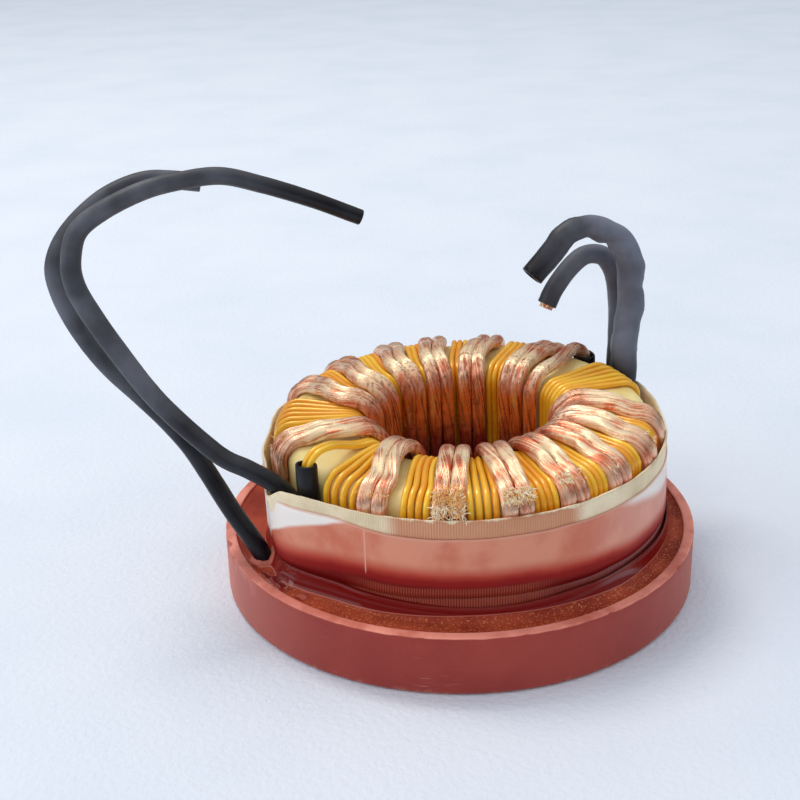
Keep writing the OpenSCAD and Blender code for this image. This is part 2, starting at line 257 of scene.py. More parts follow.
class Shade(Bench):
    """A procedural material."""

    def __init__(self, name: str) -> None:
        """Makes an empty material with its surface shader and output.

        Args:
            name: Name of the material.
        """
        self.material = bpy.data.materials.new(name)
        self.material.use_nodes = True
        super().__init__(self.material.node_tree)
        self.tree.nodes.clear()
        self.surface = self.node("ShaderNodeBsdfPrincipled")
        self.node("ShaderNodeOutputMaterial", None, {"Surface": self.surface.outputs[0]})
        self.place = Signal(self, self.node("ShaderNodeTexCoord").outputs["Object"])

    def set(self, **sockets: Any) -> bpy.types.Material:
        """Sets or links the surface shader's sockets.

        Args:
            **sockets: Values by socket name, with _ for a space.

        Returns:
            The material.
        """
        for name, value in sockets.items():
            self.feed(self.surface.inputs[name.replace("_", " ")], value)
        return self.material

    def axes(self) -> tuple[Signal, Signal, Signal]:
        """Gives the three coordinates of the object, in metres."""
        made = self.node("ShaderNodeSeparateXYZ", None, {0: self.place})
        return tuple(Signal(self, socket) for socket in made.outputs)

    def away(self, place: tuple[float, float]) -> Signal:
        """Gives the distance on plan from a place in millimetres, in metres."""
        east, north = (axis - at * MM for axis, at in zip(self.axes(), place))
        return (east * east + north * north).power(0.5)

    def round_tape(self) -> tuple[Signal, Signal]:
        """Measures along the tape, which stands off the tray's middle and leans.

        Returns:
            The angle round the tape in radians, and the height up the tape in metres.
        """
        x, y, z = self.axes()
        x = x - RING_SHIFT * MM
        return y.heading(x), z - x * math.tan(math.radians(SIDE_TILT))

    def ribs(self, way: Signal) -> Signal:
        """Gives the crepe's ribs, from 0 to 1, at an angle round the tape."""
        return (way * float(CREPE_RIBS) + self.grain(60, 2, shift=1) * 5).wave() * 0.5 + 0.5

    def grain(self, scale: float, detail: float = 3.0, stretch: tuple[float, float, float] = (1, 1, 1),
              shift: float = 0.0) -> Signal:
        """Gives a noise from 0 to 1.

        Args:
            scale: Grains in a metre.
            detail: Finer layers.
            stretch: Factors on the three axes.
            shift: Shift along all axes, so that two noises differ.

        Returns:
            The noise.
        """
        moved = self.node("ShaderNodeMapping", None,
                          {"Vector": self.place, "Location": (shift, shift, shift), "Scale": stretch})
        made = self.node("ShaderNodeTexNoise", None,
                         {"Vector": moved.outputs[0], "Scale": scale, "Detail": detail})
        return Signal(self, made.outputs[0])

    def attribute(self, name: str) -> Signal:
        """Gives a number stored on the mesh."""
        return Signal(self, self.node("ShaderNodeAttribute", {"attribute_name": name}).outputs["Fac"])

    def blend(self, share: Signal, first: Any, second: Any) -> Signal:
        """Mixes two colours, and gives the first where the share is 0."""
        made = self.node("ShaderNodeMix", {"data_type": "RGBA"}, {0: share, 6: first, 7: second})
        return Signal(self, made.outputs[2])

    def relief(self, height: Signal, depth: float, strength: float = 1.0) -> Signal:
        """Gives the normal of a surface with some relief.

        Args:
            height: Height, from 0 to 1.
            depth: Depth of the relief in millimetres.
            strength: Share of the effect.

        Returns:
            The normal.
        """
        made = self.node("ShaderNodeBump", None,
                         {"Strength": strength, "Distance": depth * MM, "Height": height})
        return Signal(self, made.outputs[0])


@dataclass(frozen=True)
class TrayFinish:
    """Moulded red-brown plastic with a paler rim, painted light on its left side, and fine scratches."""

    wall: Colour = tone(164, 64, 54)
    shade: Colour = tone(144, 48, 42)
    rim: Colour = tone(240, 152, 132)
    worn: Colour = tone(198, 104, 86)
    scratch: Colour = tone(196, 128, 112)
    smear_and_painted_light: Colour = tone(200, 116, 102)
    sheen: Colour = tone(255, 196, 180)
    sheen_weight: float = 0.42
    rim_height: float = 9.86
    rim_band: float = 0.2
    foot_band: tuple[float, float] = (1.4, 0.2)
    painted_light_side: tuple[float, float] = (-18.0, -40.0)
    smear_at: float = -158.0

    def material(self) -> bpy.types.Material:
        """Makes the material.

        Returns:
            The material.
        """
        shade = Shade("tray_moulding")
        x, y, z = shade.axes()
        cloud = shade.grain(70, 4)
        mottle = cloud.span(0.35, 0.68) * 0.7 + shade.grain(1300, 2, shift=2) * 0.4 - 0.1
        wall = shade.blend(mottle, self.shade, self.wall)
        scuff = shade.grain(160, 5, (1, 1, 14)).span(0.66, 0.74) * shade.grain(30, 2, shift=3).span(0.5, 0.62)
        foot = z.span_mm(*self.foot_band) * shade.grain(420, 3, shift=7).span(0.55, 0.66)
        # Painted light: the left side of the wall is painted paler, as if lit from the left
        wall = shade.blend(x.span_mm(*self.painted_light_side) * 0.45, wall, self.smear_and_painted_light)
        wall = shade.blend(scuff * 0.5 + foot * 0.4, wall, self.scratch)
        edge = z + shade.grain(420, 2) * 0.00025
        edge = edge.span_mm(self.rim_height, self.rim_height + self.rim_band)
        rim = shade.blend(shade.grain(150, 4, shift=6).span(0.36, 0.64), self.worn, self.rim)
        colour = shade.blend(edge, wall, rim)
        spill = (shade.grain(260, 3, shift=5) + z * 60).span(1.02, 1.12)
        spill = spill * y.heading(x).off(self.smear_at, 0.3, 0.12)
        colour = shade.blend(spill * 0.8, colour, self.smear_and_painted_light)
        fine = shade.grain(1500, 2) * 0.5 + shade.grain(300, 3, shift=1)
        return shade.set(Base_Color=colour, Roughness=0.5 + cloud * 0.16, Specular_IOR_Level=0.2,
                         Sheen_Weight=self.sheen_weight, Sheen_Tint=self.sheen,
                         Normal=shade.relief(fine, 0.05, 0.5))


@dataclass(frozen=True)
class ResinFinish:
    """Cast red-brown resin: grainy on its floor, dark and glossy where it climbs the tape."""

    deep: Colour = tone(120, 20, 16)
    dim: Colour = tone(140, 46, 30)
    floor: Colour = tone(176, 74, 48)
    speck: Colour = tone(226, 142, 88)
    collar_highlight: Colour = tone(208, 120, 102)
    climb: tuple[float, float] = (RESIN_LEVEL + 0.2, RESIN_LEVEL + 0.6)
    lip_highlight: float = RESIN_LEVEL + 0.3
    right_lift: float = 0.9
    wet_at: tuple[float, float] = (-28.6, -22.0)
    streak_at: tuple[float, float] = (24.6, -24.6)

    def material(self) -> bpy.types.Material:
        """Makes the material.

        Returns:
            The material.
        """
        shade = Shade("cast_resin")
        x, y, z = shade.axes()
        reach = shade.away((0, 0))
        # The grain climbs higher on the right
        slope = z - x.span_mm(-20, 8) * (self.right_lift * MM)
        climb = (slope + shade.grain(240, 2) * 0.0004).span_mm(*self.climb)
        gloss = (climb * reach.span_mm(37.8, 37.4)).top(reach.span_mm(20, 18))
        cloud = shade.grain(120, 4, shift=2)
        floor = shade.blend(cloud.span(0.32, 0.66), self.dim, self.floor)
        dots = shade.grain(2800, 2).span(0.54, 0.66) * 0.5
        dots = dots + shade.grain(1800, 2, shift=9).span(0.66, 0.73) * 0.7
        # No specks along the left wall
        dots = dots * (1 - gloss) * x.span_mm(-34, -29).top(y.span_mm(-12, -18))
        colour = shade.blend(gloss, shade.blend(dots, floor, self.speck), self.deep)
        # Painted highlight: a pale ring on the resin round the low lead
        collar_highlight = shade.away(LOW_LEAD_AT).span_mm(2.6, 1.9)
        wet = shade.away(self.wet_at).span_mm(4.2, 2.6)
        streak = shade.away(self.streak_at).span_mm(5.5, 2) * climb
        colour = shade.blend(collar_highlight * 0.8, colour, self.collar_highlight)
        gloss = gloss.top(collar_highlight)
        # Painted highlight: a thin pale line along the foot of the fillet
        lip_highlight = (slope - self.lip_highlight * MM).size().span_mm(0.12, 0.03) * reach.span_mm(37.4, 36.8)
        colour = shade.blend(lip_highlight * 0.6, colour, self.collar_highlight)
        rough = 0.14 + (1 - gloss) * (0.28 + cloud * 0.25)
        bumps = shade.grain(1500, 3) * (1 - gloss) + shade.grain(260, 2, shift=4) * 0.3
        bumps = bumps + wet * shade.grain(700, 2) * 6
        coat = gloss * 0.12 + wet * 0.8 + streak * 0.8
        return shade.set(Base_Color=colour, Roughness=rough, Coat_Weight=coat, Coat_Roughness=0.05,
                         Specular_IOR_Level=0.14, Normal=shade.relief(bumps, 0.12, 0.7))


@dataclass(frozen=True)
class CoreFinish:
    """Pale yellow coat of the ring core."""

    coat: Colour = tone(244, 222, 150)
    stain: Colour = tone(214, 182, 104)

    def material(self) -> bpy.types.Material:
        """Makes the material.

        Returns:
            The material.
        """
        shade = Shade("core_coat")
        cloud = shade.grain(160, 4)
        colour = shade.blend(cloud.span(0.48, 0.75), self.coat, self.stain)
        return shade.set(Base_Color=colour, Roughness=0.42 + cloud * 0.15,
                         Normal=shade.relief(shade.grain(900, 2), 0.05, 0.4))


@dataclass(frozen=True)
class WireFinish:
    """Copper wire under clear amber enamel."""

    light: Colour = tone(255, 202, 48)
    dark: Colour = tone(242, 158, 18)

    def material(self) -> bpy.types.Material:
        """Makes the material.

        Returns:
            The material.
        """
        shade = Shade("enamelled_wire")
        tint = shade.attribute("tint")
        cloud = shade.grain(260, 3)
        colour = shade.blend((tint * 0.5 + cloud * 0.6).span(0.2, 0.85), self.dark, self.light)
        return shade.set(Base_Color=colour, Metallic=0.15, Roughness=0.26 + cloud * 0.12, Coat_Weight=0.5,
                         Coat_Roughness=0.15, Normal=shade.relief(cloud, 0.05, 0.3))


@dataclass(frozen=True)
class LitzFinish:
    """Bundles of fine bare copper strands, with painted highlights on top and painted reflection and shade down
    the bore.
    """

    light: Colour = tone(255, 216, 186)
    dark: Colour = tone(228, 132, 94)
    cream_highlight: Colour = tone(255, 236, 196)
    fleck_shade: Colour = tone(146, 62, 36)
    # Painted reflection and shade down the bore: orange, hot highlights, dark fibres and a dark red foot
    bore: Colour = tone(255, 132, 34)
    hot_highlight: Colour = tone(255, 182, 78)
    pit_shade: Colour = tone(132, 8, 9)
    fibre: Colour = tone(104, 20, 10)
    metal: float = 0.8
    tinted: float = 0.3

    def material(self, name: str = "litz_copper") -> bpy.types.Material:
        """Makes the material.

        Args:
            name: Name of the material.

        Returns:
            The material.
        """
        shade = Shade(name)
        _, y, z = shade.axes()
        reach = shade.away((RING_SHIFT, 0))
        tint = shade.attribute("tint")
        streak = shade.grain(900, 3)
        patch = shade.grain(260, 3, shift=5)
        lightness = tint * self.tinted + streak * 0.2 + patch * (1.1 - self.tinted)
        colour = shade.blend(lightness.span(0.42, 0.78), self.dark, self.light)
        # Painted highlight: cream on the ring's upper face, stronger towards the front, and at the back on the
        # bends into the bore
        flat = reach.span_mm(19, 22.5) * reach.span_mm(31.2, 27.5) * (patch + tint * 0.25).span(0.42, 0.68)
        flat = flat * (0.3 + y.span_mm(18, -6) * 0.7)
        brow_highlight = reach.span_mm(15.8, 17.2) * reach.span_mm(22.8, 19.5) * y.span_mm(-4, 8)
        flat = flat.top(brow_highlight * (patch + tint * 0.25 + streak * 0.3).span(0.5, 0.74))
        colour = shade.blend(flat * 0.8, colour, self.cream_highlight)
        # Painted shade: dark flecks where the strands bend into the bore
        bend_shade = reach.span_mm(20.5, 17.8) * shade.grain(1700, 3, (1, 1, 0.3), 7).span(0.48, 0.66)
        colour = shade.blend(bend_shade * 0.6, colour, self.fleck_shade)
        # Painted reflection and shade down the bore: orange with dark fibres of painted shade, paler painted
        # highlights, and a dark red foot in painted shade
        deep = reach.span_mm(17.2, 15.6) * (z + (streak - 0.5) * 0.004).span_mm(30.2, 26.2)
        lay = (tint * 0.45 + shade.grain(1500, 3, (1, 1, 0.12), 3) * 0.9).span(0.78, 0.42)
        inner = shade.blend(lay * 0.72, self.bore, self.fibre)
        inner = shade.blend(shade.grain(800, 2, (1, 1, 0.2), 9).span(0.52, 0.68) * 0.6, inner, self.hot_highlight)
        inner = shade.blend((z + (streak - 0.5) * 0.006).span_mm(23.8, 15.8), inner, self.pit_shade)
        colour = shade.blend(deep * 0.92, colour, inner)
        return shade.set(Base_Color=colour, Metallic=self.metal * (1 - deep * 0.7 - flat * 0.5),
                         Roughness=0.22 + streak * 0.14,
                         Normal=shade.relief(shade.grain(2600, 2), 0.05, 0.25))


@dataclass(frozen=True)
class CrepeFinish:
    """Cream crepe paper, salmon where resin has soaked it and brown and wet at its foot."""

    dry: Colour = tone(252, 236, 204)
    aged_and_rib_shade: Colour = tone(222, 202, 164)
    soaked: Colour = tone(212, 138, 94)
    wet: Colour = tone(160, 74, 54)
    groove: Colour = tone(118, 36, 28)
    front_at: float = -85.0
    foot_at: float = -94.0

    def material(self) -> bpy.types.Material:
        """Makes the material.

        Returns:
            The material.
        """
        shade = Shade("crepe_paper")
        way, height = shade.round_tape()
        rib = shade.ribs(way)
        paper = shade.blend(shade.grain(120, 4).span(0.4, 0.72), self.dry, self.aged_and_rib_shade)
        # Painted shade in the troughs of the ribs
        paper = shade.blend(rib * 0.3, paper, self.aged_and_rib_shade)
        ragged = height + (shade.grain(420, 4, shift=2) - 0.5) * 0.0022
        soak = ragged.span_mm(26.3, 25.8) * way.off(self.front_at, 0.48, 0.38)
        colour = shade.blend(soak * 0.85, paper, shade.blend(rib * 0.4, self.soaked, self.wet))
        foot = ragged.span_mm(16.2, 14.8)
        grooves = rib.span(0.3, 0.9).top(way.off(self.foot_at, 0.3, 0.55))
        colour = shade.blend(foot, colour, shade.blend(grooves, self.wet, self.groove))
        fibre = shade.grain(2400, 2, (1, 1, 0.12)) + rib * 0.5
        return shade.set(Base_Color=colour, Roughness=0.82 - foot * 0.5, Coat_Weight=foot * 0.7,
                         Normal=shade.relief(fibre, 0.07, 0.6))


@dataclass(frozen=True)
class FilmFinish:
    """Thin film over the crepe: salmon where the paper under it is soaked, whitish where it is dry."""

    salmon: Colour = tone(222, 146, 118)
    brown: Colour = tone(206, 114, 88)
    right_painted_light: Colour = tone(232, 176, 158)
    rust: Colour = tone(186, 68, 50)
    deep: Colour = tone(142, 18, 15)
    dark: Colour = tone(108, 10, 9)
    dry: Colour = tone(247, 241, 233)
    hem: Colour = tone(232, 172, 150)
    wet: Colour = tone(156, 68, 48)
    groove: Colour = tone(112, 30, 24)
    foot_at: float = -94.0
    seam_at: float = -116.6

    def material(self) -> bpy.types.Material:
        """Makes the material.

        Returns:
            The material.
        """
        shade = Shade("tape_film")
        _, _, z = shade.axes()
        way, height = shade.round_tape()
        patch = shade.grain(110, 4)
        stray = (patch - 0.5) * 0.0018
        body = shade.blend(patch.span(0.4, 0.62), self.salmon, self.brown)
        # Painted light: the film is paler towards its right side, as if lit from there
        body = shade.blend(way.past(-66, 0, 0.5) * 0.6, body, self.right_painted_light)
        # Stains that the resin has drawn up, lower at both sides
        wick = z + stray + way.past(-115, 0, -0.7) * 0.0022 + way.past(-75, 0, 0.7) * 0.001
        for stain, high, low in ((self.rust, 18.8, 16.4), (self.deep, 17.2, 15.6), (self.dark, 15.6, 14.2)):
            body = shade.blend(wick.span_mm(high, low), body, stain)
        # Dry corners above a curved edge at the left and a sloping one at the right
        left = ((way + math.radians(157)) / math.radians(37)).top(0.0).power(0.5) * 0.0124 + 0.0116
        right = way.past(-60, 0, 0.75) * -0.005 + 0.0243
        dry = (height + stray - left).span_mm(-0.2, 0.6) * way.past(-113, 0.12, 0) * way.past(-172, 0, 0.06)
        dry = dry.top((height + stray - right).span_mm(-0.6, 1.4) * way.past(-58, 0, 0.12))
        colour = shade.blend(dry * 0.95, body, self.dry)
        rise = shade.attribute("rise")
        foot = (rise + (patch - 0.5) * 0.04).span(0.18, 0.14) * way.off(self.foot_at, 0.55, 0.3)
        grooves = shade.ribs(way).span(0.3, 0.9)
        colour = shade.blend(foot * 0.85, colour, shade.blend(grooves, self.wet, self.groove))
        rim = rise.span(0.955, 0.985)
        seam = way.off(self.seam_at, 0.006, 0.002) * height.span_mm(15.8, 16.8)
        colour = shade.blend((rim * 0.6).top(seam * 0.7), colour, self.hem)
        crinkle = shade.grain(240, 3, (1, 1, 0.4), 6) + shade.grain(60, 2, (1, 1, 0.3), 8)
        return shade.set(Base_Color=colour, Roughness=0.45 + dry * 0.15, Specular_IOR_Level=0.16,
                         Normal=shade.relief(crinkle, 0.12, 0.5))


@dataclass(frozen=True)
class SleeveFinish:
    """Matte charcoal tubing, with painted sheen on its upper runs."""

    base: Colour = tone(16, 16, 22)
    worn: Colour = tone(28, 29, 37)
    painted_sheen: Colour = tone(122, 124, 134)
    upright_sheen: Colour = tone(124, 129, 145)
    painted_sheen_share: float = 0.85

    def material(self, name: str = "lead_sleeve") -> bpy.types.Material:
        """Makes the material.

        Args:
            name: Name of the material.

        Returns:
            The material.
        """
        shade = Shade(name)
        x, _, z = shade.axes()
        colour = shade.blend(shade.grain(220, 4).span(0.4, 0.7), self.base, self.worn)
        # Painted sheen: paler higher up, and further out on both sides, where the light falls
        run = x.span_mm(-22, -46) * 0.8 + x.span_mm(12, 24)
        painted_sheen = (z + (shade.grain(70, 3, shift=2) - 0.5) * 0.02).span_mm(22, 46) * run * self.painted_sheen_share
        patch = shade.grain(110, 3, shift=4).span(0.3, 0.72)
        colour = shade.blend(painted_sheen * (0.3 + patch * 0.7), colour, self.painted_sheen)
        # Painted sheen on the upright run of the right leads
        upright = x.span_mm(19.5, 27.5) * z.span_mm(28.5, 36) * self.painted_sheen_share
        colour = shade.blend(upright * (0.4 + patch * 0.6), colour, self.upright_sheen)
        dents = shade.grain(1500, 3) * 0.08 + shade.grain(190, 2, shift=6)
        return shade.set(Base_Color=colour, Roughness=0.34 + painted_sheen * 0.24, Specular_IOR_Level=0.28,
                         Normal=shade.relief(dents, 0.5, 0.5))


@dataclass(frozen=True)
class FloorFinish:
    """Pale bluish grained sheet under the part."""

    sheet: Colour = tone(228, 235, 244)
    shade: Colour = tone(221, 229, 240)

    def material(self) -> bpy.types.Material:
        """Makes the material.

        Returns:
            The material.
        """
        shade = Shade("floor_sheet")
        colour = shade.blend(shade.grain(25, 4).span(0.3, 0.8), self.sheet, self.shade)
        return shade.set(Base_Color=colour, Roughness=0.7, Normal=shade.relief(shade.grain(900, 3), 0.3, 0.7))


def settle(piece: bpy.types.Object, slot: Slot, *nodes: str) -> bpy.types.Object:
    """Makes a piece ride on the part and hides the solids that it stands for.

    Args:
        piece: Finished piece at the origin.
        slot: Record slot of its finish, not used.
        *nodes: Solids that it stands for.

    Returns:
        The piece.
    """
    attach(piece, Body.ROOT.value)
    if nodes:
        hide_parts(*nodes)
    LOG.info("%s: %d faces", piece.name, len(piece.data.polygons))
    return piece


class Shell:
    """A mesh made of closed rings of points that follow each other."""

    def __init__(self, placing: Matrix = TO_METRES) -> None:
        """Takes the matrix that brings millimetres into the part's frame."""
        self.placing = placing
        self.mesh = bmesh.new()

    def add(self, rings: Sequence[Ring], wrap: bool = False, caps: bool = False) -> "Shell":
        """Adds faces between neighbouring rings.

        Args:
            rings: Rings with the same number of points each.
            wrap: Whether the last ring joins the first.
            caps: Whether the first and last ring are closed, each by a fan.

        Returns:
            The shell itself.
        """
        rows = [[self.mesh.verts.new(self.placing @ point) for point in ring] for ring in rings]
        count = len(rows[0])
        pairs = list(zip(rows, rows[1:] + rows[:1])) if wrap else list(zip(rows, rows[1:]))
        for here, there in pairs:
            for k in range(count):
                nxt = (k + 1) % count
                self.mesh.faces.new((here[k], here[nxt], there[nxt], there[k]))
        if caps:
            for row, ring, turned in ((rows[0], rings[0], True), (rows[-1], rings[-1], False)):
                middle = self.mesh.verts.new(self.placing @ (sum(ring, Vector()) / count))
                for k in range(count):
                    pair = (row[k], row[(k + 1) % count])
                    self.mesh.faces.new((*(reversed(pair) if turned else pair), middle))
        return self

    def piece(self, name: str, material: bpy.types.Material) -> bpy.types.Object:
        """Turns the shell into a smooth piece with faces that point outwards.

        Args:
            name: Name of the piece.
            material: Finish of the piece.

        Returns:
            The piece.
        """
        bmesh.ops.recalc_face_normals(self.mesh, faces=self.mesh.faces)
        data = bpy.data.meshes.new(name)
        self.mesh.to_mesh(data)
        self.mesh.free()
        data.polygons.foreach_set("use_smooth", [True] * len(data.polygons))
        data.materials.append(material)
        return stand(name, data)


@dataclass
class Line:
    """A wire's middle line with its thickness as a share of the wire radius, and its tint."""

    points: list[Vector]
    closed: bool = True
    thick: Sequence[float] = (1.0,)
    tint: float = 0.5


class WireTree:
    """Geometry Nodes tree that draws a round wire along every line of a mesh."""

    def __init__(self) -> None:
        """Builds the tree with its named inputs."""
        self.tree = bpy.data.node_groups.new("wire_along_lines", "GeometryNodeTree")
        self.inputs: dict[str, str] = {}
        for name, kind in (("Lines", "Geometry"), ("Wire radius", "Float"), ("Sides", "Int"),
                           ("Finish", "Material")):
            item = self.tree.interface.new_socket(name=name, in_out="INPUT", socket_type="NodeSocket" + kind)
            self.inputs[name] = item.identifier
        self.tree.interface.new_socket(name="Wires", in_out="OUTPUT", socket_type="NodeSocketGeometry")
        bench = Bench(self.tree)
        given = bench.node("NodeGroupInput").outputs
        thick = bench.node("GeometryNodeInputNamedAttribute", {"data_type": "FLOAT"}, {"Name": "thick"})
        curve = bench.node("GeometryNodeMeshToCurve", None, {"Mesh": given["Lines"]})
        ring = bench.node("GeometryNodeCurvePrimitiveCircle", None,
                          {"Resolution": given["Sides"], "Radius": given["Wire radius"]})
        tube = bench.node("GeometryNodeCurveToMesh", None,
                          {"Curve": curve.outputs[0], "Profile Curve": ring.outputs[0],
                           "Scale": thick.outputs[0], "Fill Caps": True})
        smooth = bench.node("GeometryNodeSetShadeSmooth", None, {"Geometry": tube.outputs[0]})
        whole = bench.node("GeometryNodeRealizeInstances", None, {"Geometry": smooth.outputs[0]})
        dressed = bench.node("GeometryNodeSetMaterial", None,
                             {"Geometry": whole.outputs[0], "Material": given["Finish"]})
        bench.node("NodeGroupOutput", None, {0: dressed.outputs[0]})

    def draw(self, name: str, lines: Sequence[Line], radius: float, sides: int,
             finish: bpy.types.Material, placing: Matrix = TO_METRES) -> bpy.types.Object:
        """Draws wires and turns them into a plain mesh.

        Args:
            name: Name of the piece.
            lines: Middle lines in millimetres.
            radius: Wire radius in millimetres.
            sides: Sides of a wire.
            finish: Finish of the wires.
            placing: Matrix that brings millimetres into the part's frame.

        Returns:
            The piece.
        """
        points, edges, thick, tint = [], [], [], []
        for line in lines:
            first, count = len(points), len(line.points)
            points += [placing @ point for point in line.points]
            edges += [(first + k, first + k + 1) for k in range(count - 1)]
            if line.closed:
                edges.append((first + count - 1, first))
            thick += list(line.thick) if len(line.thick) == count else [line.thick[0]] * count
            tint += [line.tint] * count
        data = bpy.data.meshes.new(name + "_lines")
        data.from_pydata(points, edges, [])
        for label, values in (("thick", thick), ("tint", tint)):
            data.attributes.new(label, "FLOAT", "POINT").data.foreach_set("value", values)
        drawn = stand(name + "_lines", data)
        modifier = drawn.modifiers.new("wires", "NODES")
        modifier.node_group = self.tree
        for label, value in (("Wire radius", radius * MM), ("Sides", sides), ("Finish", finish)):
            modifier[self.inputs[label]] = value
        graph = bpy.context.evaluated_depsgraph_get()
        mesh = bpy.data.meshes.new_from_object(drawn.evaluated_get(graph), preserve_all_data_layers=True,
                                               depsgraph=graph)
        bpy.data.objects.remove(drawn)
        bpy.data.meshes.remove(data)
        mesh.name = name
        return stand(name, mesh)


@dataclass(frozen=True)
class Seat:
    """Where the wound ring and its tape stand in the tray."""

    shift: float = RING_SHIFT
    ring_z: float = 17.492
    side_tilt: float = SIDE_TILT
    front_tilt: float = 1.8

    def placing(self, height: float) -> Matrix:
        """Gives the tilted placing at a height in millimetres."""
        turn = Matrix.Rotation(math.radians(-self.side_tilt), 4, "Y")
        return TO_METRES @ Matrix.Translation((self.shift, 0, height)) @ turn

    @property
    def tape(self) -> Matrix:
        """Gives the placing of the tape."""
        return self.placing(0)

    @property
    def ring(self) -> Matrix:
        """Gives the placing of the wound ring."""
        return self.placing(self.ring_z) @ Matrix.Rotation(math.radians(self.front_tilt), 4, "X")


def circle(count: int) -> list[float]:
    """Gives the angles of a full turn in even steps, in degrees."""
    return [360 * k / count for k in range(count)]


def corner(centre: tuple[float, float], radius: float, start: float, steps: int) -> list[tuple[float, float]]:
    """Gives the points of a section's quarter round, from a facing angle in degrees on."""
    angles = [math.radians(start + 90 * k / steps) for k in range(steps + 1)]
    return [(centre[0] + radius * math.cos(a), centre[1] + radius * math.sin(a)) for a in angles]


def bell(angle: float, at: float, reach: float) -> float:
    """Gives 1 at a direction and less to either side of it, all in degrees."""
    return math.exp(-((turn_gap(angle, at) / reach) ** 2))


@dataclass
class Tray:
    """Shallow round potting tray with a flat, chipped rim."""

    radius: float = 39.98
    inner: float = 38.23
    height: float = 10.0
    floor: float = 1.2
    foot_round: float = 0.8
    foot_steps: int = 6
    rim_round: float = 0.25
    rim_steps: int = 3
    rim_flat: float = 0.7
    hub: float = 20.0
    under: float = 36.0
    wall_rows: tuple[float, ...] = (2.5, 4.5, 6.5, 8.5)
    inner_row: float = 7.0
    segments: int = 360
    worn_from: float = 8.6
    wear: float = 0.05
    chip_width: float = 1.2
    chip_drop: float = 0.9
    chips: tuple[tuple[float, float, float], ...] = (
        (188, 1.2, 0.22), (196, 2.6, 0.4), (203, 1.5, 0.25), (214, 1.1, 0.12), (236, 1.3, 0.12),
        (262, 0.9, 0.1), (284, 1.8, 0.1), (305, 1.0, 0.12), (331, 1.4, 0.14), (349, 1.0, 0.12),
        (24, 1.6, 0.2), (77, 1.2, 0.15), (118, 1.9, 0.3), (151, 1.2, 0.22))

    def profile(self) -> list[tuple[float, float]]:
        """Gives the section from the underside over the rim to the inner floor.

        Returns:
            Its points of radius and height.
        """
        foot, top = self.radius - self.foot_round, self.height - self.rim_round
        outer, inner = self.radius - self.rim_round, self.inner + self.rim_round
        points = [(self.hub, 0.0), (self.under, 0.0)]
        points += corner((foot, self.foot_round), self.foot_round, -90, self.foot_steps)
        points += [(self.radius, height) for height in self.wall_rows]
        points += corner((outer, top), self.rim_round, 0, self.rim_steps)
        points += [(self.radius - self.rim_flat, self.height), (self.inner + self.rim_flat, self.height)]
        points += corner((inner, top), self.rim_round, 90, self.rim_steps)
        return points + [(self.inner, self.inner_row), (self.inner, self.floor), (self.hub, self.floor)]

    def chipped(self, radius: float, height: float, angle: float) -> Vector:
        """Gives a point of the wall, pulled in where the rim is chipped or worn.

        Args:
            radius: Radius of the sound wall.
            height: Height of the sound wall.
            angle: Angle in degrees.

        Returns:
            The point in millimetres.
        """
        wear = self.wear * noise.noise(polar(14, angle, height)) * ease(self.worn_from, self.height, height)
        outer = ease(self.radius - self.chip_width, self.radius, radius)
        outer *= ease(self.height - self.chip_drop, self.height, height)
        for at, reach, depth in self.chips:
            wear -= depth * max(0.0, 1 - turn_gap(angle, at) / reach) * outer
        return polar(radius + wear * 0.6, angle, height + wear)

    def build(self, finish: bpy.types.Material) -> bpy.types.Object:
        """Builds the tray.

        Args:
            finish: Finish of the moulding.

        Returns:
            The piece.
        """
        rings = []
        for radius, height in self.profile():
            worn = height > self.worn_from
            rings.append([self.chipped(radius, height, a) if worn else polar(radius, a, height)
                          for a in circle(self.segments)])
        shell = Shell().add(rings, caps=True)
        return settle(shell.piece("tray_moulded", finish), Slot.TRAY, "potting_tray")


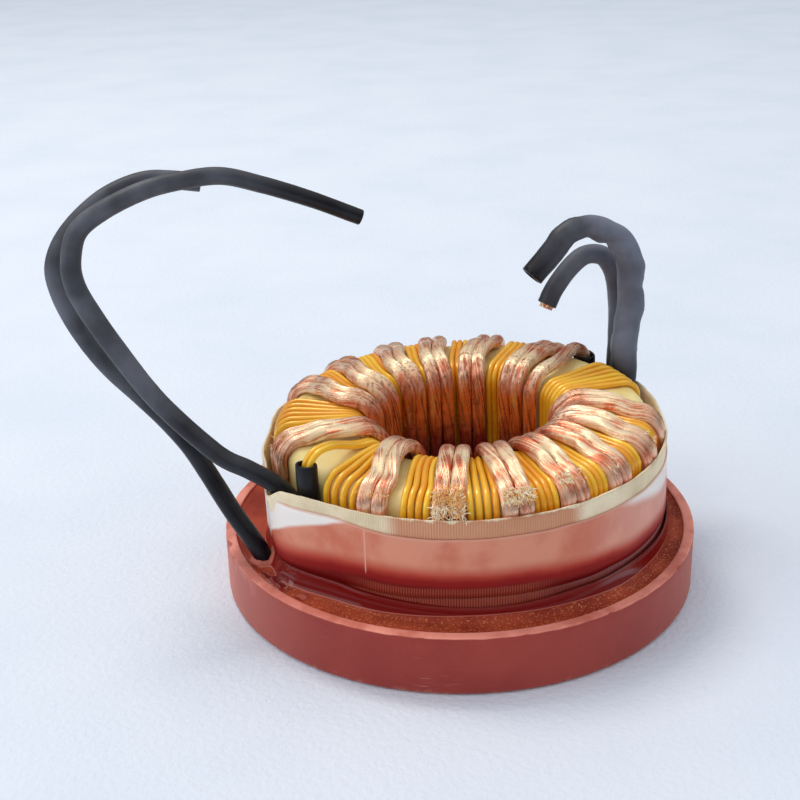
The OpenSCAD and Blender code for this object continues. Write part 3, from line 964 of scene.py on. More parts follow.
@dataclass
class TapeWrap:
    """Crepe tape round the wound ring, and the film strip over it."""

    seat: Seat
    inner: float = 33.521
    crepe_t: float = 0.3
    crepe_top: float = 26.09
    crepe_h: float = 21.0
    film_gap: float = 0.06
    film_t: float = 0.15
    film_drop: float = 3.0
    film_w: float = 9.9
    rib_depth: float = 0.05
    rib_sides: int = 4
    crepe_rows: tuple[float, ...] = (0, 0.2, 0.4, 0.46, 0.52, 0.6, 0.8, 0.9, 0.95, 1)
    film_rows: tuple[float, ...] = tuple(k / 12 for k in range(13))
    film_sides: int = 720
    lap_t: float = 0.14
    lap_at: float = 243.4
    lap_reach: float = 24.0
    bulges: tuple[tuple[float, float, float], ...] = ((217, 20, 1.9), (37, 36, 2.5), (179, 17, -1.1))
    dip_at: float = 210.5
    dip_reach: float = 5.4
    dip_depth: float = 2.6
    dip_flare: float = 0.7
    top_flare: float = 0.12
    wave: float = 0.22
    ripple: float = 0.1
    crinkle: float = 0.06
    film_wave: float = 0.16
    film_lift: float = 1.1
    lift_from: tuple[float, float] = (185, 200)
    lift_to: tuple[float, float] = (258, 232)
    film_sag: float = 1.1
    film_slack: float = 0.03

    def radius(self, angle: float) -> float:
        """Gives the tape's inner radius, with its bulges.

        Args:
            angle: Angle in degrees.

        Returns:
            The radius in millimetres.
        """
        out = self.inner
        for at, reach, height in self.bulges:
            off = turn_gap(angle, at)
            if off < reach:
                out += height * math.cos(math.radians(90 * off / reach)) ** 2
        return out

    def outer(self, angle: float) -> float:
        """Gives the film's outer radius at an angle in degrees."""
        return self.radius(angle) + self.crepe_t + self.film_gap + self.film_t

    def dip(self, angle: float) -> float:
        """Gives the share of the dip under the upper left lead, from 0 to 1."""
        return bell(angle, self.dip_at, self.dip_reach)

    def top(self, angle: float) -> float:
        """Gives the height of the crepe's upper edge at an angle."""
        wave = self.wave * noise.noise(polar(5, angle, 3)) + self.ripple * noise.noise(polar(22, angle, 9))
        return self.crepe_top + wave - self.dip_depth * self.dip(angle)

    @staticmethod
    def walls(start: float, thick: float, rows: Sequence[float]) -> list[tuple[float, float]]:
        """Gives a band's rings, inside and then outside, as distances out and shares of the height."""
        return [(start, row) for row in reversed(rows)] + [(start + thick, row) for row in rows]

    def crepe(self, finish: bpy.types.Material) -> bpy.types.Object:
        """Builds the ribbed crepe tape.

        Args:
            finish: Finish of the paper.

        Returns:
            The piece.
        """
        low = self.crepe_top - self.crepe_h
        rings = []
        for out, share in self.walls(0, self.crepe_t, self.crepe_rows):
            ring = []
            for k, angle in enumerate(circle(CREPE_RIBS * self.rib_sides)):
                phase = k / self.rib_sides + 0.35 * noise.noise(polar(9, angle, 1))
                rib = self.rib_depth * math.sin(math.tau * phase)
                flare = self.dip_flare * self.dip(angle) * ease(0.75, 1, share)
                flare += self.top_flare * ease(0.85, 1, share)
                height = low + (self.top(angle) - low) * share
                ring.append(polar(self.radius(angle) + out + rib + flare, angle, height))
            rings.append(ring)
        shell = Shell(self.seat.tape).add(rings, wrap=True)
        return settle(shell.piece("crepe_tape", finish), Slot.CREPE, "crepe_band")

    def film(self, finish: bpy.types.Material) -> bpy.types.Object:
        """Builds the film strip with its overlap.

        Args:
            finish: Finish of the film.

        Returns:
            The piece.
        """
        angles = circle(self.film_sides)
        start = self.crepe_t + self.film_gap
        walls = self.walls(start, self.film_t, self.film_rows)
        top = self.crepe_top - self.film_drop
        low = top - self.film_w
        rings = []
        for out, share in walls:
            ring = []
            for angle in angles:
                high = top + self.film_lift * ease(*self.lift_from, angle) * ease(*self.lift_to, angle)
                past = (angle - self.lap_at) % 360
                lap = self.lap_t * ease(0, 0.6, past) * ease(self.lap_reach, self.lap_reach - 6, past)
                crinkle = self.crinkle * noise.noise(Vector((angle * 0.45, share * 1.3, 4)))
                edge = self.film_wave * noise.noise(polar(6, angle, 40 * (share > 0.5)))
                height = low + (high - low) * share + edge - self.film_sag * self.dip(angle) * share
                radius = self.radius(angle) + out + crinkle * (share * (1 - share) * 4)
                radius += (lap if out > start else 0.0) + self.film_slack
                ring.append(polar(radius, angle, height))
            rings.append(ring)
        strip = Shell(self.seat.tape).add(rings, wrap=True).piece("film_strip", finish)
        rise = strip.data.attributes.new("rise", "FLOAT", "POINT")
        rise.data.foreach_set("value", [share for _, share in walls for _ in angles])
        return settle(strip, Slot.FILM, "film_band")


@dataclass
class ResinFill:
    """Cast resin: a ledge with a fillet up the tape and round the low lead, and a floor in the well."""

    seat: Seat
    tape: TapeWrap
    outer: float = 38.2
    fillet_h: float = 2.5
    fillet_w: float = 1.0
    curl: float = 1.8
    low_at: float = 272.0
    low_reach: float = 26.0
    full_w: float = 0.4
    full_h: float = 0.45
    web_at: float = 312.0
    web_reach: float = 9.0
    web_w: float = 1.6
    wall_lip: tuple[float, float] = (0.45, 0.35)
    lead_lip: tuple[float, float] = (1.1, 0.55)
    pool_lip: tuple[float, float] = (0.5, 0.8)
    uneven: float = 0.05
    pool_uneven: float = 0.06
    well: float = 15.2
    base: float = 2.0
    lead_r: float = 1.55
    segments: int = 300
    rows: int = 34
    pool: tuple[float, ...] = (1.0, 3, 6, 9, 11, 12.5, 13.2, 13.7, 14.1, 14.5)
    pool_sides: int = 120
    lumps: tuple[tuple[float, float, float, float], ...] = (
        (-29.5, -22.4, 1.5, 0.7), (-27.8, -24.2, 1.1, 0.5), (-31.6, -20.6, 1.2, 0.55),
        (-24.4, -27.3, 1.3, 0.35), (14.0, -34.4, 1.5, 0.3), (24.6, -28.6, 1.2, 0.25), (-6.5, -36.1, 1.4, 0.2))

    def height(self, point: Vector, gap: float) -> float:
        """Gives the resin's height at a point of the ledge.

        Args:
            point: Point on the ledge.
            gap: Distance to the tape.

        Returns:
            The height in millimetres.
        """
        angle = math.degrees(math.atan2(point.y, point.x - self.seat.shift))
        full = 1 - bell(angle, self.low_at, self.low_reach)
        web = bell(angle, self.web_at, self.web_reach)
        climb = max(0.0, 1 - gap / (self.fillet_w * (1 + self.full_w * full + self.web_w * web)))
        tall = self.fillet_h * (1 + self.full_h * full) * (1 + 0.1 * noise.noise(point * 0.11))
        rise = RESIN_LEVEL + tall * (1 - math.sqrt(max(0.0, 1 - climb ** self.curl)))
        edge = self.outer - math.hypot(point.x, point.y)
        rise += self.wall_lip[0] * math.exp(-edge / self.wall_lip[1])
        lead = math.hypot(point.x - LOW_LEAD_AT[0], point.y - LOW_LEAD_AT[1]) - self.lead_r
        rise += self.lead_lip[0] * math.exp(-max(lead, 0.0) / self.lead_lip[1])
        for x, y, reach, lift in self.lumps:
            rise += lift * math.exp(-((point.x - x) ** 2 + (point.y - y) ** 2) / reach ** 2)
        return rise + self.uneven * noise.noise(point * 0.9)

    def build(self, finish: bpy.types.Material) -> bpy.types.Object:
        """Builds the resin round the tape and in the well.

        Args:
            finish: Finish of the resin.

        Returns:
            The piece.
        """
        middle = Vector((self.seat.shift, 0, 0))
        rings: list[list[Vector]] = [[] for _ in range(self.rows + 1)]
        inside: list[Vector] = []
        for angle in circle(self.segments):
            wall = polar(self.outer, angle, 0)
            skin = polar(self.tape.outer(angle), angle, 0) + middle
            width = (wall - skin).length
            for row, ring in enumerate(rings):
                share = (row / self.rows) ** 0.55
                point = wall.lerp(skin, share)
                point.z = self.height(Vector((point.x, point.y, 0)), width * (1 - share))
                ring.append(point)
            inside.append(polar(self.tape.outer(angle) - 0.5, angle, 0) + middle)
        for height in (RESIN_LEVEL + self.fillet_h - 0.4, self.base):
            rings.append([Vector((p.x, p.y, height)) for p in inside])
        rings.append([polar(self.outer, a, self.base) for a in circle(self.segments)])
        shell = Shell().add(rings, wrap=True)
        pool = []
        for radius in (*self.pool, self.well):
            level = RESIN_LEVEL + self.pool_lip[0] * math.exp(-(self.well - radius) / self.pool_lip[1])
            heights = [level + self.pool_uneven * noise.noise(polar(radius * 0.5, a, 2))
                       for a in circle(self.pool_sides)]
            pool.append([polar(radius, a, height) + middle
                         for a, height in zip(circle(self.pool_sides), heights)])
        pool.append([polar(self.well, a, self.base) + middle for a in circle(self.pool_sides)])
        shell.add(pool, caps=True)
        return settle(shell.piece("resin_cast", finish), Slot.RESIN, "potting_resin")


@dataclass
class RingCore:
    """Coated ring core with rounded edges."""

    seat: Seat
    outer: float = 31.0
    inner: float = 17.2
    half: float = 11.5
    edge: float = 2.5
    sides: int = 180
    corner_steps: int = 6

    def build(self, finish: bpy.types.Material) -> bpy.types.Object:
        """Builds the core.

        Args:
            finish: Finish of the coat.

        Returns:
            The piece.
        """
        far, near, flat = self.outer - self.edge, self.inner + self.edge, self.half - self.edge
        rings = []
        for k, centre in enumerate(((far, flat), (near, flat), (near, -flat), (far, -flat))):
            for radius, height in corner(centre, self.edge, 90 * k, self.corner_steps):
                rings.append([polar(radius, angle, height) for angle in circle(self.sides)])
        shell = Shell(self.seat.ring).add(rings, wrap=True)
        return settle(shell.piece("core_coated", finish), Slot.CORE, "toroid_core")


@dataclass(frozen=True)
class Station:
    """A place on a turn's way round the core: radius, height, facing angle and share of the way in."""

    radius: float
    height: float
    facing: float
    inward: float


@dataclass(frozen=True)
class Turn:
    """One turn: its angles outside and in the bore, and its shifts along the arc there."""

    outside: float
    bore: float
    out_shift: float
    bore_shift: float

    def at(self, station: Station, sway: float = 0.0) -> float:
        """Gives the turn's angle at a station.

        Args:
            station: Place on the way.
            sway: Further shift along the arc in millimetres.

        Returns:
            The angle in degrees.
        """
        angle = self.outside + (self.bore - self.outside) * station.inward
        shift = self.out_shift + (self.bore_shift - self.out_shift) * station.inward + sway
        return angle + math.degrees(shift / station.radius)


@dataclass
class TurnWay:
    """Way of a turn round the core's rounded section."""

    core: RingCore
    out: float
    bore: float
    climb_share: float = 0.5
    softness: float = 0.45
    fine: int = 7
    coarse: int = 2

    def arc(self, centre: tuple[float, float], radius: float, start: float, steps: int,
            inward: float) -> list[Station]:
        """Gives the stations of one corner.

        Args:
            centre: Middle of the corner.
            radius: Radius of the corner.
            start: Facing angle at its start, in degrees.
            steps: Steps in the quarter turn.
            inward: Share of the way in.

        Returns:
            The stations.
        """
        found = []
        for k in range(steps + 1):
            facing = math.radians(start + 90 * k / steps)
            found.append(Station(centre[0] + radius * math.cos(facing), centre[1] + radius * math.sin(facing),
                                 facing, inward))
        return found

    def face(self, first: Station, last: Station, steps: int, climb: float) -> list[Station]:
        """Gives the stations between two corners on a flat face, where the turn leans and climbs.

        Args:
            first: End of the corner before.
            last: Start of the corner after.
            steps: Number of stations between.
            climb: Share of the face, from its outer side, on which the turn climbs.

        Returns:
            The stations.
        """
        found = []
        for k in range(1, steps + 1):
            share = k / (steps + 1)
            lean = share + (ease(0, 1, share) - share) * self.softness
            rise = ease(0, climb, share if first.inward < last.inward else 1 - share)
            rise = rise if first.inward < last.inward else 1 - rise
            found.append(Station(first.radius + (last.radius - first.radius) * share,
                                 first.height + (last.height - first.height) * rise,
                                 first.facing, first.inward + (last.inward - first.inward) * lean))
        return found

    def stations(self, lift: float = 0.0, rise: float = 0.0) -> list[Station]:
        """Gives the whole way, from the outside over the top into the bore and back below.

        Args:
            lift: How far the outside stands off further, at a winding's end.
            rise: How far the outer top corner stands higher there.

        Returns:
            The stations.
        """
        core = self.core
        flat = core.half - core.edge
        far, near = core.outer - core.edge + lift, core.inner + core.edge
        above = self.arc((far, flat + rise), core.edge + self.out, 0, self.fine, 0)
        into = self.arc((near, flat), core.edge + self.bore, 90, self.fine, 1)
        below = self.arc((near, -flat), core.edge + self.bore, 180, self.coarse, 1)
        away = self.arc((far, -flat), core.edge + self.out, 270, self.coarse, 0)
        climb = 1.0 if rise else 1 - self.climb_share
        return [*above, *self.face(above[-1], into[0], self.fine + 1, climb),
                *into, *self.face(into[-1], below[0], self.coarse * 2, 1),
                *below, *self.face(below[-1], away[0], self.coarse, 1),
                *away, *self.face(away[-1], above[0], self.coarse, 1)]


def group(outside: float, bore: float, count: int, out_pitch: float, bore_pitch: float) -> list[Turn]:
    """Gives the turns of a group, side by side.

    Args:
        outside: Angle outside in degrees.
        bore: Angle in the bore in degrees.
        count: Number of turns.
        out_pitch: Distance of turns outside.
        bore_pitch: Distance of turns in the bore.

    Returns:
        The turns.
    """
    places = [k - (count - 1) / 2 for k in range(count)]
    return [Turn(outside, bore, place * out_pitch, place * bore_pitch) for place in places]


@dataclass
class EnamelWinding:
    """Groups of enamelled turns, and two ends that arch into their sleeve."""

    seat: Seat
    core: RingCore
    wire_d: float = 1.0
    gap: float = 0.06
    lift: float = 1.09
    rise: float = 3.2
    sides: int = 10
    sway: float = 0.07
    hump: float = 0.06
    seed: int = 11
    groups: tuple[tuple[float, float, int, float], ...] = (
        (26, 26, 6, 1.7), (70, 71, 3, 1), (91, 93, 3, 1), (109, 113, 3, 1), (127.5, 134, 4, 1),
        (147.5, 157, 4, 1), (179, 181, 6, 1.7), (232.2, 228, 4, 1.7), (256, 252, 4, 1.1),
        (274.7, 274.7, 4, 1.2), (292.3, 293, 4, 1), (309, 311.5, 4, 1), (325.6, 330, 4, 1),
        (342.2, 349, 4, 1))
    end: tuple[float, float, int] = (222, 216.5, 2)

    def line(self, turn: Turn, stations: Sequence[Station], number: int, dice: Random) -> Line:
        """Gives the middle line of one turn, a little uneven as wound by hand.

        Args:
            turn: The turn.
            stations: Its way.
            number: Its number.
            dice: Seeded chance.

        Returns:
            The line.
        """
        points = []
        for k, station in enumerate(stations):
            sway = self.sway * noise.noise(Vector((number * 3.7, k * 0.17, 0)))
            hump = self.hump * max(0.0, noise.noise(Vector((number * 2.3, k * 0.21, 7))))
            points.append(polar(station.radius + hump * math.cos(station.facing), turn.at(station, sway),
                                station.height + hump * math.sin(station.facing)))
        return Line(points, tint=dice.random())

    def build(self, wires: WireTree, finish: bpy.types.Material) -> bpy.types.Object:
        """Builds all turns.

        Args:
            wires: Tree that draws wires.
            finish: Finish of the wire.

        Returns:
            The piece.
        """
        dice = Random(self.seed)
        pitch = self.wire_d + self.gap
        way = TurnWay(self.core, self.gap + self.wire_d / 2, self.gap + self.wire_d / 2)
        lines = []
        for outside, bore, count, spread in self.groups:
            for turn in group(outside, bore, count, pitch * spread, pitch):
                lines.append(self.line(turn, way.stations(), len(lines), dice))
        for turn in group(*self.end, pitch, pitch):
            lines.append(self.line(turn, way.stations(self.lift, self.rise), len(lines), dice))
        piece = wires.draw("enamel_turns", lines, pitch / 2, self.sides, finish, self.seat.ring)
        return settle(piece, Slot.WIRE, "enamel_winding")


@dataclass
class LitzWinding:
    """Pairs of litz bundles, each of strands laid round it, with broken strands at the front."""

    seat: Seat
    core: RingCore
    width: float = 2.4
    bore_width: float = 2.3
    deep: float = 2.0
    gap: float = 0.06
    bore_off: float = 2.12
    lift: float = 0.73
    rise: float = 0.6
    strands: int = 36
    strand_r: float = 0.15
    strand_sides: int = 4
    flat: float = 0.82
    lays: int = 2
    sway: float = 0.12
    filling_r: float = 0.78
    filling_at: tuple[float, ...] = (-0.4, 0.0, 0.4)
    hair_r: float = 0.075
    hair_sides: int = 5
    hair_taper: tuple[float, ...] = (1, 0.95, 0.9, 0.8, 0.6)
    seed: int = 23
    front: tuple[float, float] = (180, 340)
    groups: tuple[tuple[float, float, int], ...] = (
        (57, 57, 2), (80, 85, 2), (101, 106, 2), (117.5, 126, 2), (137.5, 149, 2), (157.5, 172, 2),
        (200, 207, 2), (244, 237, 2), (265.5, 265.5, 2), (284, 284, 2), (300.6, 302.5, 2), (317.2, 321, 2),
        (333.9, 339.5, 2), (351, 358.5, 2))
    end: tuple[float, float, int] = (47.5, 41, 1)
    tufts: tuple[tuple[float, float, int, float, tuple[int, ...]], ...] = (
        (265.5, -1.2, 190, 0.26, (1, 2, 2, 3, 3, 4, 4, 5)), (265.5, 1.2, 200, 0.27, (1, 2, 2, 3, 3, 4, 4, 5)),
        (284, -1.2, 130, 0.24, (3, 3, 4)), (284, 1.2, 150, 0.25, (3, 3, 4)),
        (300.6, -1.2, 70, 0.22, (4, 4, 5)), (300.6, 1.2, 20, 0.22, (4, 5)),
        (244, -1.2, 8, 0.24, (3, 4)), (244, 1.2, 16, 0.26, (3, 4)),
        (317.2, -1.2, 10, 0.26, (3, 4, 5)), (333.9, 1.2, 8, 0.26, (3, 4)), (200, -1.2, 10, 0.3, (2, 3, 4)))

    def frame(self, turn: Turn, station: Station, sway: float) -> tuple[Vector, Vector, Vector]:
        """Gives a bundle's middle, its sideways and its outward direction at a station.

        Args:
            turn: The bundle.
            station: Place on its way.
            sway: Further shift along the arc.

        Returns:
            The middle and the two directions.
        """
        angle = turn.at(station, sway)
        middle = polar(station.radius, angle, station.height)
        side = polar(1, angle + 90, 0)
        out = polar(math.cos(station.facing), angle, math.sin(station.facing))
        return middle, side, out

    def bundle(self, turn: Turn, stations: Sequence[Station], number: int, dice: Random) -> list[Line]:
        """Gives the strands of one bundle and the filling inside them.

        Args:
            turn: The bundle.
            stations: Its way.
            number: Its number.
            dice: Seeded chance.

        Returns:
            The lines.
        """
        frames = []
        for k, station in enumerate(stations):
            sway = self.sway * noise.noise(Vector((number * 5.1, k * 0.15, 3)))
            frames.append(self.frame(turn, station, sway))
        start = dice.random() * math.tau
        reach = [0.0]
        for (here, _, _), (there, _, _) in zip(frames, frames[1:] + frames[:1]):
            reach.append(reach[-1] + (there - here).length)
        thick = (self.filling_r / self.strand_r,)
        lines = [Line([middle + side * shift for middle, side, _ in frames], thick=thick, tint=0.2)
                 for shift in self.filling_at]
        for strand in range(self.strands):
            phase = start + math.tau * strand / self.strands
            inset = self.strand_r * 0.6
            points = []
            for k, (middle, side, out) in enumerate(frames):
                wide = self.width + (self.bore_width - self.width) * stations[k].inward
                turned = phase + math.tau * self.lays * reach[k] / reach[-1]
                loose = 1 + 0.05 * noise.noise(Vector((number * 7.3 + strand, k * 0.31, 5)))
                across, over = (math.copysign(abs(c) ** self.flat, c)
                                for c in (math.cos(turned), math.sin(turned)))
                points.append(middle + side * across * (wide / 2 - inset) * loose
                              + out * over * (self.deep / 2 - inset) * loose)
            lines.append(Line(points, thick=(0.85 + 0.3 * dice.random(),), tint=dice.random()))
        return lines

    def hairs(self, stations: Sequence[Station], dice: Random) -> list[Line]:
        """Gives broken strands that stand out of the outer top edge of some bundles.

        Args:
            stations: Way of the bundles.
            dice: Seeded chance.

        Returns:
            The lines.
        """
        lines = []
        for angle, shift, count, length, places in self.tufts:
            turn = Turn(angle, angle, shift, shift)
            for _ in range(count):
                place = dice.choice(places)
                across = dice.uniform(-1.15, 1.15)
                middle, side, out = self.frame(turn, stations[place], across)
                along = side.cross(out)
                bulge = dice.uniform(-0.2, 0.6) * (1 - 0.6 * across * across)
                point = middle + out * (self.deep / 2 + bulge) + along * dice.uniform(-0.5, 0.5)
                heading = out * dice.uniform(0, 0.6) + side * dice.uniform(-0.7, 0.7)
                heading += along * dice.uniform(-1, 1)
                step = length * dice.uniform(0.45, 1.0)
                points = [point]
                for _ in self.hair_taper[1:]:
                    heading = (heading + Vector((dice.uniform(-0.5, 0.5), dice.uniform(-0.5, 0.5),
                                                 dice.uniform(-0.6, 0.35)))).normalized()
                    points.append(points[-1] + heading * step)
                tint = dice.uniform(0.0, 0.6) if place > 2 and angle < 270 else dice.uniform(0.2, 1.0)
                lines.append(Line(points, closed=False, thick=self.hair_taper, tint=tint))
        return lines

    def build(self, wires: WireTree, finish: bpy.types.Material,
              torn: bpy.types.Material) -> list[bpy.types.Object]:
        """Builds all bundles, in two pieces, and the broken strands.

        Args:
            wires: Tree that draws wires.
            finish: Finish of the strands.
            torn: Finish of the broken strands.

        Returns:
            The pieces.
        """
        dice = Random(self.seed)
        way = TurnWay(self.core, self.gap + self.deep / 2, self.bore_off)
        front: list[Line] = []
        back: list[Line] = []
        number = 0
        for outside, bore, count in self.groups:
            lines = front if self.front[0] < outside < self.front[1] else back
            for turn in group(outside, bore, count, self.width + self.gap, self.bore_width + self.gap):
                number += 1
                lines += self.bundle(turn, way.stations(), number, dice)
        for turn in group(*self.end, self.width, self.bore_width):
            back += self.bundle(turn, way.stations(self.lift, self.rise), 0, dice)
        hairs = self.hairs(way.stations(), dice)
        pieces = []
        for name, lines, radius, sides, dress, nodes in (
                ("litz_front", front, self.strand_r, self.strand_sides, finish, ("litz_winding",)),
                ("litz_back", back, self.strand_r, self.strand_sides, finish, ()),
                ("litz_frays", hairs, self.hair_r, self.hair_sides, torn, ())):
            drawn = wires.draw(name, lines, radius, sides, dress, self.seat.ring)
            pieces.append(settle(drawn, Slot.LITZ, *nodes))
        return pieces


@dataclass
class EndSleeve:
    """Short oval sleeve on a winding's end, open at the top."""

    seat: Seat
    name: str
    node: str
    angle: float
    radius: float
    width: float
    deep: float
    top: float
    wall: float = 0.45
    height: float = 14.0
    sides: int = 40
    skew: float = 0.22

    def build(self, finish: bpy.types.Material) -> bpy.types.Object:
        """Builds the sleeve.

        Args:
            finish: Finish of the tube.

        Returns:
            The piece.
        """
        rows = [(self.wall, drop) for drop in (-self.height, -self.height * 0.5, -2.0, -0.2)]
        rows += [(self.wall * 0.75, 0.0), (self.wall * 0.3, 0.02), (0.03, -0.15), (0.0, -1.0), (0.0, -5.0)]
        rings = []
        for grow, drop in rows:
            ring = []
            for a in circle(self.sides):
                t = math.radians(a)
                dent = 1 + 0.05 * noise.noise(Vector((math.cos(t), math.sin(t), drop * 0.3)))
                skew = self.skew * math.sin(t + 0.6) * ease(-2, 0, drop)
                ring.append(Vector(((self.deep / 2 + grow) * dent * math.cos(t),
                                    (self.width / 2 + grow) * dent * math.sin(t), self.top + drop + skew)))
            rings.append(ring)
        turn = Matrix.Rotation(math.radians(self.angle), 4, "Z") @ Matrix.Translation((self.radius, 0, 0))
        shell = Shell(self.seat.ring @ turn).add(rings, caps=True)
        return settle(shell.piece(self.name, finish), Slot.END_SLEEVE, self.node)


@dataclass
class Lead:
    """Sleeved lead along a route, with a cut end."""

    name: str
    node: str
    route: Sequence[tuple[float, float, float]]
    girths: Sequence[tuple[float, float]]
    lumpy: float = 0.02
    creases: tuple[tuple[float, tuple[float, float, float], float], ...] = ()
    bare: float = -0.5
    pinch: float = 1.0
    sides: int = 24
    step: float = 0.7
    crease_w: float = 1.05
    cut: tuple[tuple[float, float], ...] = ((0.97, 0.12), (0.86, 0.16), (0.74, 0.06), (0.7, -1.4))
    strands: int = 19
    strand_r: float = 0.14
    strand_sides: int = 6

    @property
    def diameter(self) -> float:
        """Gives the largest diameter."""
        return max(size for _, size in self.girths)

    def path(self) -> list[tuple[float, Vector]]:
        """Gives close points of the smooth line through the route.

        Returns:
            The points, each after its place on the route.
        """
        knots = [Vector(point) for point in self.route]
        knots = [knots[0] * 2 - knots[1], *knots, knots[-1] * 2 - knots[-2]]
        found = []
        for n, (before, here, there, after) in enumerate(zip(knots, knots[1:], knots[2:], knots[3:])):
            count = max(2, round((there - here).length / self.step))
            for k in range(count):
                t = k / count
                found.append((n + t, 0.5 * (here * 2 + (there - before) * t
                                            + (before * 2 - here * 5 + there * 4 - after) * t * t
                                            + (here * 3 - before - there * 3 + after) * t * t * t)))
        return [*found, (len(self.route) - 1.0, knots[-2])]

    def plain(self, place: float) -> float:
        """Gives the sleeve's radius without lumps.

        Args:
            place: Place on the route.

        Returns:
            The radius in millimetres.
        """
        size = self.girths[0][1]
        for (low, before), (high, after) in zip(self.girths, self.girths[1:]):
            if place > low:
                size = before + (after - before) * min(1.0, (place - low) / (high - low))
        return size / 2

    def girth(self, place: float, along: float, facing: Vector) -> float:
        """Gives the sleeve's radius at a point.

        Args:
            place: Place on the route.
            along: Distance from the lead's start in millimetres.
            facing: Direction in which the point faces.

        Returns:
            The radius in millimetres.
        """
        radius = self.plain(place)
        lump = noise.noise(facing * 0.8 + Vector((along * 0.28, 0, 0)))
        fine = noise.noise(facing * 1.6 + Vector((along * 0.9, 7, 0)))
        radius *= 1 + self.lumpy * lump + self.lumpy * 0.4 * fine
        for at, side, depth in self.creases:
            near = max(0.0, facing.dot(Vector(side).normalized()))
            radius -= depth * near * math.exp(-((along - at) / self.crease_w) ** 2)
        return radius

    def build(self, wires: WireTree, sleeve: bpy.types.Material,
              copper: bpy.types.Material) -> list[bpy.types.Object]:
        """Args:
            wires: Tree that draws wires.
            sleeve: Finish of the sleeve.
            copper: Finish of the strands.

        Returns:
            The pieces.
        """
        path = self.path()
        points = [point for _, point in path]
        rings, along = [], 0.0
        way = (points[1] - points[0]).normalized()
        side = way.orthogonal().normalized()
        for k, (place, point) in enumerate(path):
            ahead = (points[min(k + 1, len(points) - 1)] - points[max(k - 1, 0)]).normalized()
            side = (way.rotation_difference(ahead) @ side).normalized()
            way = ahead
            up = way.cross(side)
            along += (point - points[k - 1]).length if k else 0.0
            ring = []
            for n in range(self.sides):
                t = math.tau * n / self.sides
                facing = side * math.cos(t) + up * math.sin(t)
                ring.append(point + facing * self.girth(place, along, facing))
            rings.append(ring)
        end, last = points[-1], rings[-1]
        for share, drop in self.cut:
            rings.append([end + (point - end) * share * self.pinch + way * drop for point in last])
        tube = Shell().add(rings, caps=True).piece(self.name, sleeve)
        dice = Random(len(path))
        strands = []
        core = self.plain(len(self.route) - 1.0)
        for k in range(self.strands):
            reach = 0.6 * core * math.sqrt((k + 0.5) / self.strands)
            t = k * GOLDEN_TURN
            root = end + (side * math.cos(t) + up * math.sin(t)) * reach
            tip = way * self.bare * dice.uniform(0.3, 1)
            tip += side * dice.uniform(-0.1, 0.1)
            tip += up * dice.uniform(-0.1, 0.1)
            strands.append(Line([root - way * 1.3, root - way, root + tip], closed=False, tint=dice.random()))
        cut = wires.draw(self.name + "_strands", strands, self.strand_r * core, self.strand_sides, copper)
        settle(tube, Slot.LEAD, self.node)
        settle(cut, Slot.LITZ)
        points[0] * MM
        along * MM
        [point * MM for point in points]
        return [tube, cut]


LEFT_UPPER = (
    (-25.8, -18.5, 21), (-27.2, -18.2, 23), (-29.5, -17.8, 24.8), (-33, -17.2, 26.6), (-38.1, -16, 28.9),
    (-46.7, -14, 36.6), (-52.5, -12.5, 44.1), (-57, -11, 50.7), (-59.3, -10, 55.3), (-59.5, -9, 59.4),
    (-58.2, -7.5, 63.2), (-53.8, -5.5, 66.1), (-48.4, -3, 68.1), (-43.2, -1, 69), (-37.2, 1, 69.2),
    (-31.2, 3, 67.3), (-23.6, 5, 64.3), (-15.7, 7, 60.6))
LEFT_LOWER = (
    (-31.7, -15.7, 6.8), (-31.8, -15.7, 10), (-33.6, -15.3, 13.3), (-36.6, -14.6, 18), (-40.2, -13, 23.8),
    (-43.2, -11.5, 28.1), (-47.1, -10.2, 32.4), (-51.3, -9.2, 36.4), (-55.2, -8.4, 40), (-58.5, -7.6, 44),
    (-61.2, -6.6, 48.2), (-63.2, -5.4, 52.4), (-63.9, -4.2, 55.9), (-63, -2.6, 59.1), (-61, -0.5, 61.9),
    (-57.6, 2, 64.8), (-54.1, 4, 66.6), (-50, 6, 67.5), (-46.2, 7.5, 67.1), (-42, 8.5, 66.4))
RIGHT_FRONT = (
    (30.5, 16.9, 20), (30.5, 16.9, 26.4), (30.2, 17.5, 28.7), (29.8, 19, 32.4), (30.3, 21, 36.4),
    (31.1, 22.5, 39.8), (31, 23, 43.6), (30.7, 23, 47.1), (29.5, 22.6, 50.5), (27.4, 22, 52.9),
    (24.5, 21.4, 54.2), (21.7, 20.8, 54.6), (19.2, 20, 53.6), (16.6, 18.6, 50.8), (13.1, 17, 47))
RIGHT_FRONT_CREASES = (
    (24.3, (1, 0, 0), 0.35), (20.5, (1, -0.3, 0), -0.2), (28, (1, 0, 0.2), -0.25), (31.5, (-1, 0, -1), 0.35),
    (33.5, (-1, -0.5, -1), -0.12), (35.5, (-0.2, 0, -1), 0.35), (37.5, (0, -0.4, -1), -0.2),
    (40, (0.3, 0, -1), 0.28), (36, (0.2, 0, 1), 0.2), (41.5, (-0.5, 0, 0.8), 0.3), (46, (-1, 0, 1), -0.2),
    (16, (-1, -0.2, 0), 0.25))
RIGHT_REAR = (
    (28.2, 20.4, 20.4), (28.2, 20.4, 26.4), (28.5, 21.5, 28.9), (29.2, 24.5, 32.7), (29.4, 27.5, 37.9),
    (28.8, 28, 42.9), (27.4, 27.8, 46.2), (25.5, 27, 47.8), (22.7, 26, 47.8), (20, 24.8, 45.7),
    (17.6, 23.4, 42.7), (16.2, 22.4, 40))


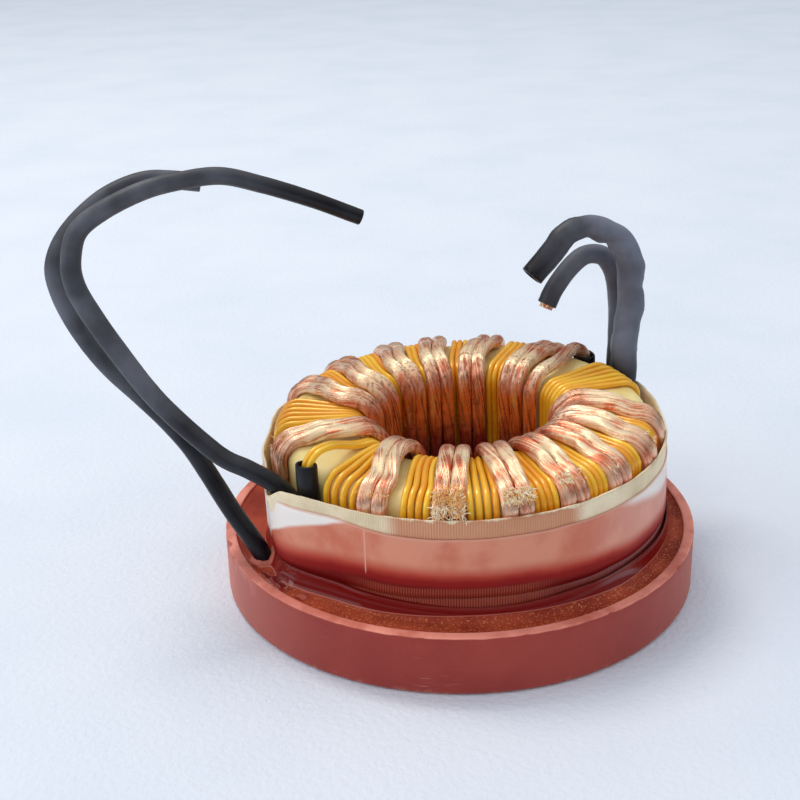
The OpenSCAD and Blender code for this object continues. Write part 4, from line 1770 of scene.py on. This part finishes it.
def leads() -> list[Lead]:
    """Gives the four leads."""
    return [
        Lead("lead_upper_left_sleeve", "lead_left_upper", LEFT_UPPER, ((4, 3.0), (7, 3.4), (17, 2.6))),
        Lead("lead_lower_left_sleeve", "lead_left_lower", LEFT_LOWER, ((0, 3.1), (19, 3.1))),
        Lead("lead_front_right_sleeve", "lead_right_front", RIGHT_FRONT,
             ((1, 2.6), (3, 4.8), (7, 4.8), (11, 4.2)), lumpy=0.06, pinch=0.9, creases=RIGHT_FRONT_CREASES),
        Lead("lead_rear_right_sleeve", "lead_right_rear", RIGHT_REAR, ((1, 2.6), (3, 3.5)),
             lumpy=0.04, bare=0.9),
    ]


@dataclass
class Studio:
    """Pale floor, soft light and the camera at the photograph's viewing angle."""

    eye: tuple[float, float, float] = (0.0, -0.20835, 0.11912)
    right: tuple[float, float, float] = (0.9991, 0.0362, -0.0229)
    up: tuple[float, float, float] = (0.0069, 0.3898, 0.9209)
    ahead: tuple[float, float, float] = (-0.0423, 0.9202, -0.3892)
    lens: float = 60.885
    sensor: float = 36.0
    clip: float = 0.01
    aim: tuple[float, float, float] = (0, 0, 0.02)
    lamps: tuple[tuple[str, tuple[float, float, float], float, float, Colour], ...] = (
        ("key", (-0.32, 0.3, 0.85), 0.28, 3.0, tone(255, 250, 242)),
        ("left", (-0.85, -0.3, 0.45), 0.5, 1.7, tone(250, 251, 255)))
    glow: float = 0.88
    floor_r: float = 4.0
    floor_sides: int = 48

    def camera(self) -> None:
        """Makes the camera."""
        data = bpy.data.cameras.new("camera")
        data.lens = self.lens
        data.sensor_width = self.sensor
        data.clip_start = self.clip
        made = stand("camera", data)
        axes = Matrix((self.right, self.up, tuple(-c for c in self.ahead))).transposed()
        made.matrix_world = Matrix.Translation(self.eye) @ axes.to_4x4()
        bpy.context.scene.camera = made

    def lamp(self, name: str, place: tuple[float, float, float], size: float, power: float,
             colour: Colour) -> None:
        """Makes a soft lamp that faces the part.

        Args:
            name: Name of the lamp.
            place: Its place in metres.
            size: Its side in metres.
            power: Its power in watts.
            colour: Its colour.
        """
        data = bpy.data.lights.new(name, "AREA")
        data.size = size
        data.energy = power
        data.color = colour[:3]
        made = stand(name, data)
        made.location = place
        made.rotation_mode = "QUATERNION"
        made.rotation_quaternion = (Vector(self.aim) - Vector(place)).to_track_quat("-Z", "Y")

    def light(self) -> None:
        """Makes the lamps and soft surroundings, which shiny pieces see as a room with a bright ceiling."""
        for lamp in self.lamps:
            self.lamp(*lamp)
        world = bpy.data.worlds.new("surroundings")
        world.use_nodes = True
        bench = Bench(world.node_tree)
        way = bench.node("ShaderNodeTexCoord").outputs["Generated"]
        rise = Signal(bench, bench.node("ShaderNodeSeparateXYZ", None, {0: way}).outputs[2])
        room = bench.node("ShaderNodeMix", {"data_type": "RGBA"},
                          {0: rise.span(0.25, 0.8), 6: tone(122, 120, 122), 7: tone(255, 252, 246)})
        shine = bench.node("ShaderNodeLightPath").outputs["Is Glossy Ray"]
        glow = bench.node("ShaderNodeMix", {"data_type": "RGBA"},
                          {0: shine, 6: tone(226, 231, 239), 7: room.outputs[2]})
        background = bench.tree.nodes["Background"].inputs
        bench.feed(background["Color"], glow.outputs[2])
        bench.feed(background["Strength"], self.glow)
        bpy.context.scene.world = world

    def floor(self, finish: bpy.types.Material) -> None:
        """Makes the floor.

        Args:
            finish: Finish of the floor.
        """
        data = bpy.data.meshes.new("floor")
        corners = [polar(self.floor_r, angle, 0) for angle in circle(self.floor_sides)]
        data.from_pydata(corners, [], [range(self.floor_sides)])
        data.materials.append(finish)
        stand("floor", data)


def main() -> None:
    """Builds the studio and then every piece of the part."""
    logging.basicConfig(level=logging.INFO, format="%(message)s")
    bpy.context.scene.view_settings.view_transform = "Standard"
    studio = Studio()
    studio.camera()
    wires = WireTree()
    litz = LitzFinish()
    copper = litz.material()
    sleeve = SleeveFinish().material()
    cut = litz.material("cut_copper")
    for lead in leads():
        lead.build(wires, sleeve, cut)
    studio.light()
    studio.floor(FloorFinish().material())
    seat = Seat()
    Tray().build(TrayFinish().material())
    tape = TapeWrap(seat)
    ResinFill(seat, tape).build(ResinFinish().material())
    core = RingCore(seat)
    core.build(CoreFinish().material())
    EnamelWinding(seat, core).build(wires, WireFinish().material())
    torn = LitzFinish(tone(255, 240, 206), tone(246, 186, 96), metal=0.0, tinted=0.9).material("torn_copper")
    LitzWinding(seat, core).build(wires, copper, torn)
    tape.crepe(CrepeFinish().material())
    tape.film(FilmFinish().material())
    tube = SleeveFinish(tone(12, 12, 17), tone(24, 24, 30), painted_sheen_share=0.0).material("end_sleeve")
    EndSleeve(seat, "enamel_sleeve_tube", "enamel_end_sleeve", 222, 32.65, 3.1, 2.2, 13.7).build(tube)
    EndSleeve(seat, "litz_sleeve_tube", "litz_end_sleeve", 47.5, 32.79, 3.36, 2.48, 11.1).build(tube)


if __name__ == "__main__":
    main()
